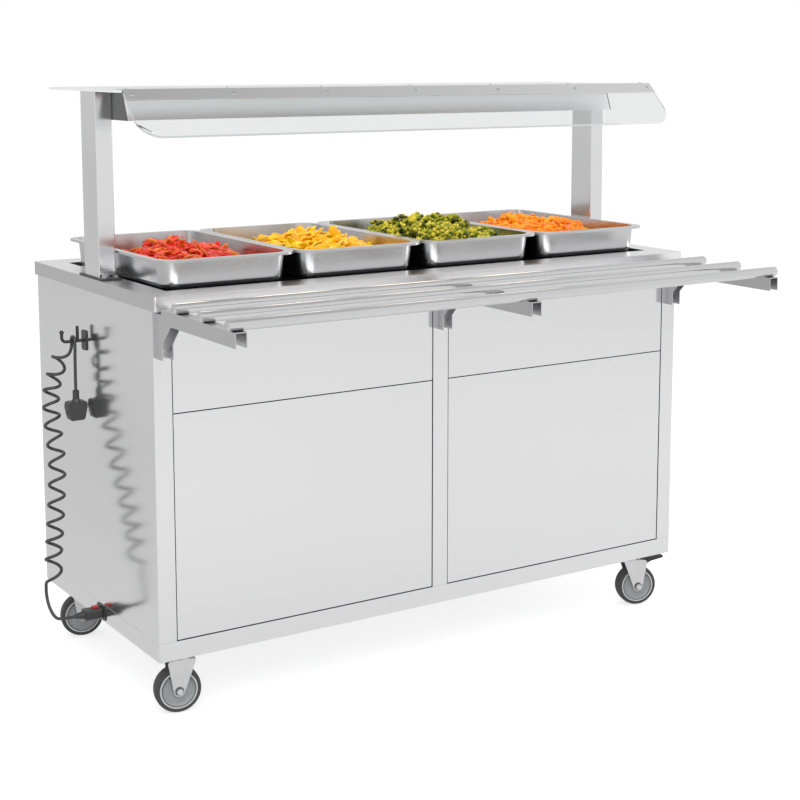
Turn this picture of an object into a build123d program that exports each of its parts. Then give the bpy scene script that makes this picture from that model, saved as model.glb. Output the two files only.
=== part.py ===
from build123d import *
import os
from math import cos, pi, radians, sin, sqrt, tan

# Mobile hot buffet counter. Millimetres, +Z up, +X to the customer's right, the customer stands at -Y.
# Pieces are drawn about the middle of the counter top in plan, and moved at the end so that the origin
# is on the floor in the middle of the footprint.

# Pans: GN 1/1, standing in a row on the hot plate
pan_count = 4
pan_width = 325.0
pan_length = 530.0
pan_height = 65.0
pan_gap = 1.0
pan_sheet = 1.0
pan_rim = 14.0
pan_rim_corner = 42.0
pan_rim_drop = 5.0
pan_draft = 5.0
pan_floor_radius = 14.0

# Gantry posts and their feet
post_width = 40.0
post_depth = 80.0
post_wall = 2.0
post_corner = 3.0
post_inset = 6.0
post_to_pan = 2.5
foot_lap_side = 4.0
foot_lap_end = 25.0
foot_thickness = 4.0
foot_corner = 5.0
foot_bolt_edge = 11.0

# Counter top, as long and as deep as the row of pans and its margins
edge_margin = 75.0
counter_height = 900.0
fascia_height = 30.0
top_sheet = 1.5
top_corner = 4.0
glass_edge = 3.0
glass_to_foot = 8.0
glass_thickness = 6.0
glass_drop = 5.0
glass_gap = 1.0
glass_corner = 4.0
lip_width = 15.0

# Heaters under the hot plate
element_inset = 40.0
element_thickness = 3.0
element_corner = 12.0
heater_tray_depth = 55.0
heater_tray_lap = 8.0
heater_tray_sheet = 1.0

# Cabinet
body_inset_side = 4.0
body_inset_front = 20.0
body_inset_back = 10.0
cabinet_sheet = 1.5
side_return = 20.0
upright_width = 40.0
upright_depth = 25.0
panel_gap = 2.0
panel_recess = 1.0
panel_lap = 10.0
panel_top_cover = 10.0
lower_panel_height = 480.0
plinth_height = 40.0
plinth_sheet = 2.0
plinth_flange = 32.0
floor_upstand = 15.0
fit = 0.3

# Rear: control panel, doors and their tracks
control_height = 130.0
control_cover = 8.0
control_top_fold = 15.0
door_thickness = 16.0
door_play = 0.5
door_hide = 10.0
door_overlap = 20.0
door_sheet = 1.0
door_lift_room = 4.0
track_base = 2.0
track_rib = 2.0
track_gap = 1.0
track_rib_low = 10.0
track_rib_high = 16.0
pull_length = 110.0
pull_width = 30.0
pull_depth = 10.0
pull_from_edge = 60.0
knob_radius = 20.0
knob_height = 22.0
knob_skirt = 4.0
knob_grip_width = 9.0
knob_spacing = 360.0
shaft_radius = 3.0
shaft_depth = 14.0
shaft_hole = 5.0
running_fit = 0.05
knob_standoff = 0.6
regulator_size = 46.0
regulator_depth = 34.0
switch_width = 22.0
switch_height = 30.0
switch_border = 4.0
switch_lip = 2.0
switch_body = 18.0
rocker_gap = 0.6
rocker_proud = 3.0
rocker_hollow = 2.5
rocker_tilt = 7.0
rocker_pin_radius = 2.0

# Gantry
gantry_rise = 400.0
housing_height = 60.0
housing_front_top = 92.0
housing_front_bottom = 115.0
housing_sheet = 1.5
housing_lip = 14.0
end_cap_thickness = 3.0
reflector_sheet = 1.0
reflector_top = 50.0
reflector_bottom = 110.0
reflector_height = 44.0
lamp_length = 240.0
lamp_radius = 5.5
lamp_stub_radius = 3.0
lamp_stub = 7.0
lamp_rise = 24.0
holder_width = 14.0
holder_length = 12.0
shelf_thickness = 6.0
shelf_front = 200.0
shelf_depth = 412.0
shelf_corner = 6.0
sneeze_length = 130.0
sneeze_angle = 44.0
sneeze_corner = 50.0
sneeze_gap = 1.0
strip_sheet = 2.0
strip_top = 26.0
strip_front = 30.0

# Tray slide
rail_count = 3
rail_radius = 11.0
rail_wall = 1.5
rail_first = 80.0
rail_pitch = 116.0
rail_drop = 2.0
rail_dome = 6.0
rail_plug = 10.0
bracket_width = 25.0
bracket_sheet = 2.0
bracket_tip = 18.0
arm_height = 30.0
gusset_reach = 68.0
leg_reach = 28.0
leg_length = 74.0
leg_straight = 32.0
fascia_room = 4.0
step_back = 7.0

# Hex bolts of the feet and the brackets, cross-head screws of the clamp strip
bolt_across = 10.0
bolt_head = 5.0
screw_count = 7
screw_from_end = 16.0
screw_radius = 4.0
screw_head = 1.8
screw_round = 1.1
screw_slot_length = 4.4
screw_slot_width = 1.1
screw_slot_depth = 0.9

# Casters
wheel_diameter = 100.0
wheel_width = 32.0
tyre_depth = 12.0
hub_boss = 11.0
hub_web = 16.0
hub_step = 2.0
axle_radius = 4.0
axle_head = 6.0
trail = 14.0
leg_thickness = 3.0
leg_gap = 2.5
fork_half = 22.0
axle_boss = 12.0
wheel_to_crown = 12.0
crown_plate = 6.0
race_height = 13.7
race_radius = 27.0
race_neck = 21.0
swivel_gap = 0.3
king_radius = 6.0
plate_thickness = 3.0
plate_length = 104.0
plate_width = 84.0
plate_corner = 8.0
caster_inset_side = 78.0
caster_inset_end = 55.0
brake_pin_radius = 3.0
brake_boss = 7.0
brake_ahead = 8.0
brake_drop = 2.0
pedal_reach = 78.0
pedal_thickness = 10.0
pedal_rise = 12.0
pedal_side_gap = 1.5

# Which way each caster trails in plan, in degrees from +X, and whether it has a brake
caster_headings = {"front_left": 169.0, "front_right": -19.0, "rear_left": 167.0, "rear_right": 8.0}
braked_casters = ("front_right", "rear_right")

# Cord hook on the left side panel
hook_rod = 3.5
hook_plate_width = 26.0
hook_plate_height = 44.0
hook_plate = 3.0
hook_back = 45.0
hook_drop = 143.0
hook_reach = 53.0
hook_bend = 10.0
hook_inner = 17.0
hook_inner_rise = 30.0
hook_outer_rise = 21.0
hook_ball = 5.0

# Mains lead: a straight tail over the hook, the curls, a lower tail, a connector in the plinth
cord_radius = 3.5
cord_out = 27.0
hook_clearance = 0.5
plug_width = 46.0
plug_height = 42.0
plug_thickness = 24.0
plug_hang = 153.0
earth_pin_width = 4.0
earth_pin_height = 8.0
earth_pin_length = 22.0
flat_pin_width = 6.4
flat_pin_height = 4.0
flat_pin_length = 18.0
boot_radius = 7.0
boot_length = 24.0
curl_radius = 17.0
curl_turns = 12.5
curl_lead = 10.0
curl_start_angle = 26.0
curl_start_drop = 12.0
connector_out = 62.0
connector_back = -12.0
connector_width = 27.0
connector_height = 22.0
connector_body = 40.0
connector_nose = 14.0
connector_boot_end = 5.0
inlet_flange_width = 46.0
inlet_flange_height = 32.0
inlet_flange = 2.5
inlet_wall = 2.0
inlet_depth = 20.0
tab_width = 12.0
tab_length = 14.0
tab_height = 4.0
tab_travel = 4.0

# Axis of the hanging curls after its start: out from the side panel, back from the middle, and the share of the
# way up from the inlet to the start of the curls
curl_axis = [
    (49.8, 85.1, 0.922),
    (64.9, 93.7, 0.820),
    (67.3, 79.4, 0.705),
    (68.1, 52.0, 0.578),
    (79.4, 33.3, 0.444),
    (90.4, 21.6, 0.317),
    (98.3, 15.7, 0.210),
    (99.8, 16.0, 0.117),
]
# Lower tail from the curls to the straight run out of the connector: out, back, and up from the inlet
inlet_tail = [
    (113.5, 9.0, 25.0),
    (106.5, -8.0, 4.0),
]
inlet_tail_drop = 20.0
connector_run = 31.0

# Places worked out from the sizes above
pan_pitch = pan_width + pan_gap
end_margin = post_inset + post_width + post_to_pan
counter_length = pan_count * pan_pitch - pan_gap + 2 * end_margin
counter_depth = pan_length + 2 * edge_margin
half_length = counter_length / 2
top_front = -counter_depth / 2
top_back = counter_depth / 2
body_left = body_inset_side - half_length
body_right = -body_left
body_front = top_front + body_inset_front
body_back = top_back - body_inset_back
body_top = counter_height - top_sheet
wheel_radius = wheel_diameter / 2
crown_bottom = wheel_diameter + wheel_to_crown
crown_top = crown_bottom + crown_plate
fork_top = crown_top + race_height
plinth_bottom = fork_top + swivel_gap + plate_thickness
plinth_top = plinth_bottom + plinth_height
panel_split = plinth_top + lower_panel_height
floor_top = plinth_top + cabinet_sheet
bay_edge = body_right - upright_width
glass_length = counter_length - 2 * (post_inset + post_width + foot_lap_side + glass_to_foot)
glass_width = pan_length + 2 * glass_edge
glass_top = counter_height - glass_drop
lip_top = glass_top - glass_thickness
lip_bottom = lip_top - top_sheet
opening_length = glass_length + 2 * glass_gap
opening_width = glass_width + 2 * glass_gap
pan_places = [(k - (pan_count - 1) / 2) * pan_pitch for k in range(pan_count)]
post_x = half_length - post_inset - post_width / 2
shelf_bottom = counter_height + gantry_rise
shelf_top = shelf_bottom + shelf_thickness
housing_top = shelf_bottom
housing_bottom = housing_top - housing_height
housing_end = post_x - post_width / 2
rail_axis = counter_height - rail_drop - rail_radius
arm_top = rail_axis - rail_radius
rail_places = [top_front - rail_first - k * rail_pitch for k in range(rail_count)]
bracket_end = rail_places[-1] - bracket_tip
bracket_places = [body_left + upright_width / 2, 0, body_right - upright_width / 2]
control_top = body_top - control_cover
control_bottom = control_top - control_height
groove = door_thickness + 2 * door_play
track_depth = 2 * groove + 3 * track_rib
track_back = body_back - upright_depth - track_gap
track_front = track_back - track_depth
hook_x = body_left - cord_out
hook_height = counter_height - hook_drop
plug_mid_height = hook_height - plug_hang
curl_start_height = hook_height - curl_start_drop
inlet_height = plinth_bottom + plinth_height / 2
caster_x = body_right - caster_inset_side
caster_front = body_front + caster_inset_end
caster_back = body_back - caster_inset_end

# The footprint without the lead, whose middle is the origin
left_reach = -body_left + hook_reach + max(hook_rod, hook_ball)
right_reach = half_length
front_reach = -bracket_end
back_reach = body_back - panel_recess + knob_standoff + knob_height
place = Pos((left_reach - right_reach) / 2, (front_reach - back_reach) / 2, 0)

os.makedirs("parts", exist_ok=True)
made = {}


def save(node, *pieces):
    """Writes one node with all the solids of its pieces, moved to the part's own frame."""
    solids = [solid for piece in pieces for solid in piece.solids()]
    made[node] = Compound(solids).moved(place)
    export_step(made[node], f"parts/{node}.step")


def strip(x0, x1, y0, y1):
    """Rectangle between two corners."""
    return Pos((x0 + x1) / 2, (y0 + y1) / 2) * Rectangle(x1 - x0, y1 - y0)


def along_x(section, x0, x1):
    """Section drawn in Y and Z, drawn out along X."""
    return extrude(Plane.YZ.offset(x0) * section, x1 - x0)


def along_y(section, y0, y1):
    """Section drawn in X and Z, drawn out along Y."""
    return extrude(Plane.XZ.offset(-y1) * section, y1 - y0)


def along_z(section, z0, z1):
    """Section drawn in X and Y, drawn out along Z."""
    return extrude(Plane.XY.offset(z0) * section, z1 - z0)


def block(x0, x1, y0, y1, z0, z1):
    """Box between two corners."""
    return along_z(strip(x0, x1, y0, y1), z0, z1)


def frame(length, width, inner_length, inner_width):
    """Flat rectangular ring."""
    return Rectangle(length, width) - Rectangle(inner_length, inner_width)


def polygon(*points):
    """Filled polygon."""
    return make_face(Polyline(*points, close=True))


def flipped(piece):
    """The same piece on the other side of the counter's middle."""
    return mirror(piece, about=Plane.YZ)


def turned(profile, axis_plane):
    """Profile of radius and height, turned about the plane's normal."""
    return axis_plane.location * revolve(Plane.XZ * profile, Axis.Z)


def base_plinth():
    """Folded tray with an inward top flange; its left wall is cut for the power inlet."""
    outer = block(body_left, body_right, body_front, body_back, plinth_bottom, plinth_top)
    wall = plinth_sheet
    hollow = block(
        body_left + wall, body_right - wall, body_front + wall, body_back - wall,
        plinth_bottom + wall, plinth_top - wall,
    )
    edge = plinth_flange
    mouth = block(
        body_left + edge, body_right - edge, body_front + edge, body_back - edge,
        plinth_top - wall, plinth_top,
    )
    socket = Pos(body_left, connector_back, inlet_height) * Box(
        2 * wall + 1, connector_width + 2 * inlet_wall, connector_height + 2 * inlet_wall
    )
    return outer - hollow - mouth - socket


def cabinet_floor():
    """Floor sheet of the cupboard with an upstand at each end."""
    end = body_right - cabinet_sheet - fit
    section = strip(-end, end, plinth_top, floor_top)
    for side in (-1, 1):
        inner = side * (end - cabinet_sheet)
        fold = sorted((inner, side * end))
        section += strip(*fold, plinth_top, floor_top + floor_upstand)
    front = body_front + upright_depth + cabinet_sheet + fit
    return along_y(section, front, track_back)


def side_panel():
    """Left end panel, folded in at the front and the back."""
    front = body_front + cabinet_sheet
    back = body_back - cabinet_sheet
    section = strip(body_left, body_left + cabinet_sheet, front, back)
    section += strip(body_left, body_left + side_return, front, front + cabinet_sheet)
    section += strip(body_left, body_left + side_return, back - cabinet_sheet, back)
    return along_z(section, plinth_top, body_top)


def corner_upright(face, inward):
    """Left corner upright: a face and one fold beside the bay, inward +1 at the front, -1 at the back."""
    inner = body_left + upright_width
    sheet = inward * cabinet_sheet
    deep = inward * upright_depth
    section = strip(body_left, inner, *sorted((face, face + sheet)))
    section += strip(inner - cabinet_sheet, inner, *sorted((face, face + deep)))
    return along_z(section, plinth_top, body_top)


def middle_upright():
    """Channel between the two bays."""
    half = upright_width / 2
    section = strip(-half, half, body_front, body_front + cabinet_sheet)
    for side in (-1, 1):
        fold = sorted((side * half, side * (half - cabinet_sheet)))
        section += strip(*fold, body_front, body_front + upright_depth)
    return along_z(section, plinth_top, body_top)


def bay_panel(x0, x1, z0, z1):
    """Front panel of one bay, folded back and out so that it laps behind the uprights' folds."""
    face = body_front + panel_recess
    seat = body_front + upright_depth
    left = x0 + panel_gap
    right = x1 - panel_gap
    section = strip(left, right, face, face + cabinet_sheet)
    section += strip(left, left + cabinet_sheet, face, seat + cabinet_sheet)
    section += strip(right - cabinet_sheet, right, face, seat + cabinet_sheet)
    section += strip(x0 - panel_lap, left + cabinet_sheet, seat, seat + cabinet_sheet)
    section += strip(right - cabinet_sheet, x1 + panel_lap, seat, seat + cabinet_sheet)
    return along_z(section, z0, z1)


def front_panels():
    """Two low and two high panels with a shadow gap between them."""
    low = (plinth_top + panel_gap, panel_split - panel_gap / 2)
    high = (panel_split + panel_gap / 2, body_top - panel_top_cover)
    half = upright_width / 2
    bays = [(-bay_edge, -half), (half, bay_edge)]
    return [bay_panel(x0, x1, z0, z1) for x0, x1 in bays for z0, z1 in (low, high)]


knob_height_z = (control_bottom + counter_height - fascia_height) / 2
knob_places = {"knob_hotplate": -knob_spacing / 2, "knob_gantry": knob_spacing / 2}


def control_panel():
    """Rear panel with a fold under the top and a deep fold that carries the upper door track."""
    face = body_back - panel_recess
    section = strip(face - cabinet_sheet, face, control_bottom, control_top)
    section += strip(track_front, face, control_bottom, control_bottom + cabinet_sheet)
    section += strip(face - control_top_fold, face, control_top - cabinet_sheet, control_top)
    panel = along_x(section, -bay_edge, bay_edge)
    for x in knob_places.values():
        panel -= along_y(Pos(x, knob_height_z) * Circle(shaft_hole), face - 2 * cabinet_sheet, face + 1)
    cut = Pos(0, knob_height_z) * Rectangle(switch_width, switch_height)
    return panel - along_y(cut, face - 2 * cabinet_sheet, face + 1)


def regulator(x):
    """Heat regulator behind the control panel, its shaft reaching through the panel."""
    inside = body_back - panel_recess - cabinet_sheet
    case = RectangleRounded(regulator_size, regulator_size, regulator_size / 8)
    body = along_y(Pos(x, knob_height_z) * case, inside - regulator_depth, inside)
    shaft = Pos(x, knob_height_z) * Circle(shaft_radius)
    tip = body_back - panel_recess + knob_standoff + shaft_depth - fit
    return body + along_y(shaft, inside - regulator_depth / 2, tip)


def knob(x):
    """Turned knob with a grip bar across its skirt, bored for the shaft."""
    foot = body_back - panel_recess + knob_standoff
    neck = knob_radius * 0.8
    skirt = along_y(Circle(knob_radius), foot, foot + knob_skirt)
    dome = along_y(Circle(neck), foot, foot + knob_height / 2)
    grip = RectangleRounded(knob_grip_width, 2 * neck, knob_grip_width / 3)
    bar = along_y(grip, foot, foot + knob_height)
    bore = along_y(Circle(shaft_radius + running_fit), foot, foot + shaft_depth)
    return Pos(x, 0, knob_height_z) * (skirt + dome + bar - bore)


def switch_frame():
    """Bezel and box of the main switch, with the rocker's pivot across it."""
    face = body_back - panel_recess
    outer = Rectangle(switch_width - 2 * fit, switch_height - 2 * fit)
    hole = Rectangle(switch_width - 2 * switch_border + 2 * rocker_gap, switch_height - 2 * switch_border)
    width, height = switch_width + 2 * switch_border, switch_height + 2 * switch_border
    border = RectangleRounded(width, height, switch_border / 2)
    box = along_y(border, face, face + switch_lip) + along_y(outer, face - switch_body, face)
    box -= along_y(hole, face - switch_body + switch_lip, face + switch_lip)
    pin = along_x(Pos(face, 0) * Circle(rocker_pin_radius), -switch_width / 2 + fit, switch_width / 2 - fit)
    return Pos(0, 0, knob_height_z) * (box + pin)


def rocker():
    """Rocker button, hollowed in the middle, tipped about the bezel's pivot."""
    face = body_back - panel_recess
    half = switch_height / 2 - switch_border - rocker_gap
    proud = face + switch_lip + rocker_proud
    under = face - switch_lip
    low, high = (proud, -half * 0.9), (proud, half * 0.9)
    back = Polyline(low, (under, -half * 0.72), (under - 2 * switch_lip, 0), (under, half * 0.72), high)
    outline = make_face([back, ThreePointArc(high, (proud - rocker_hollow, 0), low)])
    width = switch_width / 2 - switch_border
    button = along_x(outline - Pos(face, 0) * Circle(rocker_pin_radius + running_fit), -width, width)
    return Pos(0, face, knob_height_z) * Rot(rocker_tilt, 0, 0) * Pos(0, -face, 0) * button


def door_track(base, ribs):
    """Track of two grooves. Base is the level of its base, ribs the length and direction of its ribs."""
    under = base - track_base if ribs > 0 else base
    section = strip(track_front, track_back, under, under + track_base)
    for k in range(3):
        y = track_front + k * (groove + track_rib)
        section += strip(y, y + track_rib, min(base, base + ribs), max(base, base + ribs))
    end = body_right - 2 * cabinet_sheet - 2 * fit
    return along_x(section, -end, end)


def sliding_door(side, lane):
    """Folded door in one lane of the tracks, lane 0 inside, with a pressed pull at its outer edge."""
    edges = sorted((side * (bay_edge + door_hide), -side * door_overlap / 2))
    back = track_front + track_rib + door_play + lane * (groove + track_rib)
    face = back + door_thickness
    low = floor_top + track_base + fit
    high = control_bottom - track_base - door_lift_room
    wall = door_sheet
    leaf = block(*edges, back, face, low, high)
    leaf -= block(edges[0] + wall, edges[1] - wall, back, face - wall, low + wall, high - wall)
    pull = Pos(side * (bay_edge - pull_from_edge), (low + high) / 2)
    cup = pull * SlotOverall(pull_length + 2 * wall, pull_width + 2 * wall, 90)
    leaf += along_y(cup, face - pull_depth - wall, face)
    return leaf - along_y(pull * SlotOverall(pull_length, pull_width, 90), face - pull_depth, face)


def countertop():
    """Pressed top with its fascia, and a stepped rim that holds the hot plate."""
    low = counter_height - fascia_height
    inside = RectangleRounded(
        counter_length - 2 * top_sheet, counter_depth - 2 * top_sheet, top_corner - top_sheet
    )
    top = along_z(RectangleRounded(counter_length, counter_depth, top_corner), low, counter_height)
    top -= along_z(inside, low, body_top)
    top -= along_z(Rectangle(opening_length, opening_width), body_top, counter_height)
    wall = frame(
        opening_length + 2 * top_sheet, opening_width + 2 * top_sheet, opening_length, opening_width
    )
    lip = frame(
        opening_length + 2 * top_sheet, opening_width + 2 * top_sheet,
        opening_length - 2 * lip_width, opening_width - 2 * lip_width,
    )
    return top + along_z(wall, lip_bottom, body_top) + along_z(lip, lip_bottom, lip_top)


def glass_hotplate():
    """Black glass plate on the rim's lip."""
    return along_z(RectangleRounded(glass_length, glass_width, glass_corner), lip_top, glass_top)


def heating_element(x):
    """Flat heating mat bonded under the glass below one pan."""
    mat = RectangleRounded(pan_width - 2 * element_inset, pan_length - 2 * element_inset, element_corner)
    return along_z(Pos(x, 0) * mat, lip_top - element_thickness, lip_top)


def heater_tray():
    """Shallow tray under the mats, hung by its flange from the rim's lip."""
    length = opening_length - 2 * lip_width - 2 * heater_tray_lap
    width = opening_width - 2 * lip_width - 2 * heater_tray_lap
    sheet = heater_tray_sheet
    bottom = lip_bottom - heater_tray_depth
    tray = along_z(Rectangle(length, width), bottom, lip_bottom)
    tray -= along_z(Rectangle(length - 2 * sheet, width - 2 * sheet), bottom + sheet, lip_bottom)
    flange = frame(length + 4 * heater_tray_lap, width + 4 * heater_tray_lap, length, width)
    return tray + along_z(flange, lip_bottom - sheet, lip_bottom)


def pan_bowl(wall, low):
    """Tapered bowl with a rounded floor, inset by a wall from the pan's outside."""
    width = pan_width - 2 * (pan_rim + wall)
    length = pan_length - 2 * (pan_rim + wall)
    mouth = Plane.XY.offset(pan_height) * RectangleRounded(width, length, pan_rim_corner - wall)
    bowl = extrude(mouth, pan_height - low, dir=(0, 0, -1), taper=pan_draft)
    return fillet(bowl.faces().sort_by(Axis.Z)[0].edges(), pan_floor_radius - wall)


def gastro_pan(x):
    """Drawn pan with a flat rim turned down at its edge."""
    rim = RectangleRounded(pan_width, pan_length, pan_rim_corner)
    inside = RectangleRounded(
        pan_width - 2 * pan_sheet, pan_length - 2 * pan_sheet, pan_rim_corner - pan_sheet
    )
    shell = pan_bowl(0, 0) + along_z(rim, pan_height - pan_sheet, pan_height)
    shell += along_z(rim - inside, pan_height - pan_rim_drop, pan_height)
    return Pos(x, 0, glass_top) * (shell - pan_bowl(pan_sheet, pan_sheet))


def gantry_post(side):
    """Rectangular tube closed at its top."""
    low = counter_height + foot_thickness
    inner = RectangleRounded(
        post_width - 2 * post_wall, post_depth - 2 * post_wall, max(post_corner - post_wall, 0.5)
    )
    tube = along_z(RectangleRounded(post_width, post_depth, post_corner), low, shelf_bottom)
    return Pos(side * post_x, 0, 0) * (tube - along_z(inner, low, shelf_bottom - post_wall))


def post_foot(side):
    """Foot plate between a post and the counter top."""
    plate = RectangleRounded(post_width + 2 * foot_lap_side, post_depth + 2 * foot_lap_end, foot_corner)
    return Pos(side * post_x, 0, 0) * along_z(plate, counter_height, counter_height + foot_thickness)


def housing_outline():
    """Outline of the gantry housing in Y and Z, its front leaning forward at the foot."""
    back = post_depth / 2
    return polygon(
        (-housing_front_top, housing_top), (-housing_front_bottom, housing_bottom),
        (back, housing_bottom), (back, housing_top),
    )


def gantry_housing():
    """Folded housing, open below between two lips."""
    outline = housing_outline()
    hollow = offset(outline, -housing_sheet, kind=Kind.INTERSECTION)
    mouth = strip(
        housing_lip - housing_front_bottom, post_depth / 2 - housing_lip,
        housing_bottom - 1, housing_bottom + 2 * housing_sheet,
    )
    end = housing_end - end_cap_thickness
    return along_x(outline - hollow - mouth, -end, end)


def gantry_end_cap():
    """Plate between the housing's left end and the post."""
    return along_x(housing_outline(), -housing_end, end_cap_thickness - housing_end)


lamp_y = (post_depth / 2 - housing_front_bottom) / 2
lamp_z = housing_bottom + lamp_rise
reflector_roof = housing_top - housing_sheet


def lamp_reflector():
    """Trough of bright sheet under the housing's roof."""
    high, low = reflector_top / 2, reflector_bottom / 2
    foot = reflector_roof - reflector_height
    sheet = reflector_sheet
    outer = polygon((lamp_y - high, reflector_roof), (lamp_y - low, foot),
                    (lamp_y + low, foot), (lamp_y + high, reflector_roof))
    inner = polygon((lamp_y - high + sheet, reflector_roof - sheet), (lamp_y - low + sheet, foot - 1),
                    (lamp_y + low - sheet, foot - 1), (lamp_y + high - sheet, reflector_roof - sheet))
    end = housing_end - end_cap_thickness - fit
    return along_x(outer - inner, -end, end)


def lamp_holder(x):
    """Ceramic holder hung from the reflector, bored for the lamp's stub."""
    section = strip(lamp_y - holder_width / 2, lamp_y + holder_width / 2,
                    lamp_z - holder_width / 2, reflector_roof - reflector_sheet)
    body = along_x(section, x - holder_length / 2, x + holder_length / 2)
    bore = Pos(lamp_y, lamp_z) * Circle(lamp_stub_radius + running_fit)
    return body - along_x(bore, x - holder_length, x + holder_length)


def heat_lamp(x):
    """Heat lamp tube over one pan, with a stub at each end."""
    half = lamp_length / 2
    centre = Pos(lamp_y, lamp_z)
    stub = along_x(centre * Circle(lamp_stub_radius), x - half - lamp_stub, x + half + lamp_stub)
    return stub + along_x(centre * Circle(lamp_radius), x - half, x + half)


holder_reach = lamp_length / 2 + fit + holder_length / 2


def top_glass_shelf():
    """Flat glass over the posts and the housing."""
    sheet = RectangleRounded(counter_length, shelf_depth, shelf_corner)
    return along_z(Pos(0, shelf_depth / 2 - shelf_front) * sheet, shelf_bottom, shelf_top)


slope = radians(sneeze_angle)
sneeze_out = Vector(0, -sin(slope), cos(slope))
sneeze_down = Vector(0, -cos(slope), -sin(slope))
sneeze_head = Vector(0, -shelf_front - sneeze_gap - shelf_thickness * sin(slope), shelf_top)


def sneeze_glass():
    """Sloping glass in front of the shelf, its lower corners rounded."""
    sheet = Pos(0, -sneeze_length / 2) * Rectangle(counter_length, sneeze_length)
    sheet = fillet(sheet.vertices().sort_by(Axis.Y)[:2], sneeze_corner)
    slab = Plane(origin=sneeze_head, x_dir=(1, 0, 0), z_dir=sneeze_out)
    return extrude(slab * sheet, -shelf_thickness)


def clamp_strip():
    """Folded strip over the joint of the two glasses."""
    back = Vector(0, strip_top - shelf_front, shelf_top)
    foot = sneeze_head + sneeze_down * strip_front
    up = Vector(0, 0, 1)
    fold = sneeze_head + (up + sneeze_out) * (strip_sheet / (1 + up.dot(sneeze_out)))
    outline = [back, sneeze_head, foot, foot + sneeze_out * strip_sheet, fold, back + up * strip_sheet]
    return along_x(polygon(*[(p.Y, p.Z) for p in outline]), -half_length, half_length)


rail_end = half_length - rail_dome


def tray_rail(y):
    """Round tube of the tray slide."""
    ring = Circle(rail_radius) - Circle(rail_radius - rail_wall)
    return along_x(Pos(y, rail_axis) * ring, -rail_end, rail_end)


def rail_cap(y):
    """Domed plug in the right end of a rail."""
    bore = rail_radius - rail_wall - running_fit
    ball = (rail_radius**2 + rail_dome**2) / (2 * rail_dome)
    half = rail_radius / 2
    crown = (half, rail_dome - ball + sqrt(ball**2 - half**2))
    plug = Polyline((0, rail_dome), (0, -rail_plug), (bore, -rail_plug), (bore, 0), (rail_radius, 0))
    outline = make_face([plug, ThreePointArc((rail_radius, 0), crown, (0, rail_dome))])
    return turned(outline, Plane(origin=(rail_end, y, rail_axis), z_dir=(1, 0, 0)))


def tray_bracket(x):
    """Channel arm with a gusset leg, its back web flat on the upright."""
    step = top_front - fascia_room
    under = counter_height - fascia_height - fascia_room
    arm_low = arm_top - arm_height
    leg_low = arm_low - leg_length
    outline = polygon(
        (body_front, leg_low), (body_front, under), (step, under), (step - step_back, arm_top),
        (bracket_end, arm_top), (bracket_end, arm_low), (body_front - gusset_reach, arm_low),
        (body_front - leg_reach, leg_low + leg_straight), (body_front - leg_reach, leg_low),
    )
    half = bracket_width / 2
    inner = half - bracket_sheet
    tip, low = bracket_end - 1, leg_low - 1
    channel = strip(tip, body_front - bracket_sheet, low, under - bracket_sheet)
    channel += strip(tip, step - step_back - bracket_sheet, low, arm_top - bracket_sheet)
    return along_x(outline, x - half, x + half) - along_x(channel, x - inner, x + inner)


hexagon = RegularPolygon(bolt_across / 2, 6, major_radius=False)


def foot_bolt(side, dx, dy):
    """Hex head on a foot plate."""
    low = counter_height + foot_thickness
    return along_z(Pos(side * post_x + dx, dy) * hexagon, low, low + bolt_head)


def frame_bolts():
    """Hex heads on the foot plates and inside the brackets' back webs."""
    dx = post_width / 2 + foot_lap_side - foot_bolt_edge
    dy = post_depth / 2 + foot_lap_end - foot_bolt_edge
    bolts = [foot_bolt(s, i * dx, j * dy) for s in (-1, 1) for i in (-1, 1) for j in (-1, 1)]
    web = body_front - bracket_sheet
    leg_low = arm_top - arm_height - leg_length
    heights = (leg_low + leg_straight / 2, leg_low + leg_length)
    for x in bracket_places:
        bolts += [along_y(Pos(x, z) * hexagon, web - bolt_head, web) for z in heights]
    return bolts


def strip_screws():
    """Cross-head screws along both flanges of the clamp strip."""
    head = extrude(Circle(screw_radius), screw_head)
    head = fillet(head.edges().sort_by(Axis.Z)[-1:], screw_round)
    for angle in (0, 90):
        slot = Rot(0, 0, 45 + angle) * Box(screw_slot_length, screw_slot_width, 2 * screw_slot_depth)
        head -= Pos(0, 0, screw_head) * slot
    top = Vector(0, strip_top / 2 - shelf_front - shelf_thickness / 2, shelf_top + strip_sheet)
    front = sneeze_head + sneeze_down * (strip_front / 2) + sneeze_out * strip_sheet
    pitch = (counter_length - 2 * screw_from_end) / (screw_count - 1)
    across = [screw_from_end - half_length + k * pitch for k in range(screw_count)]
    seats = [(top, Vector(0, 0, 1)), (front, sneeze_out)]
    return [
        Plane(origin=spot + Vector(x, 0, 0), x_dir=(1, 0, 0), z_dir=out) * head
        for spot, out in seats for x in across
    ]


def caster_plate():
    """Top plate of a caster with its king pin, about the swivel axis."""
    low = plinth_bottom - plate_thickness
    plate = along_z(RectangleRounded(plate_length, plate_width, plate_corner), low, plinth_bottom)
    return plate + along_z(Circle(king_radius), crown_bottom, low)


fork_inside = wheel_width / 2 + leg_gap
fork_outside = fork_inside + leg_thickness
brake_x = fork_half + brake_ahead
brake_z = crown_bottom - brake_drop


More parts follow.
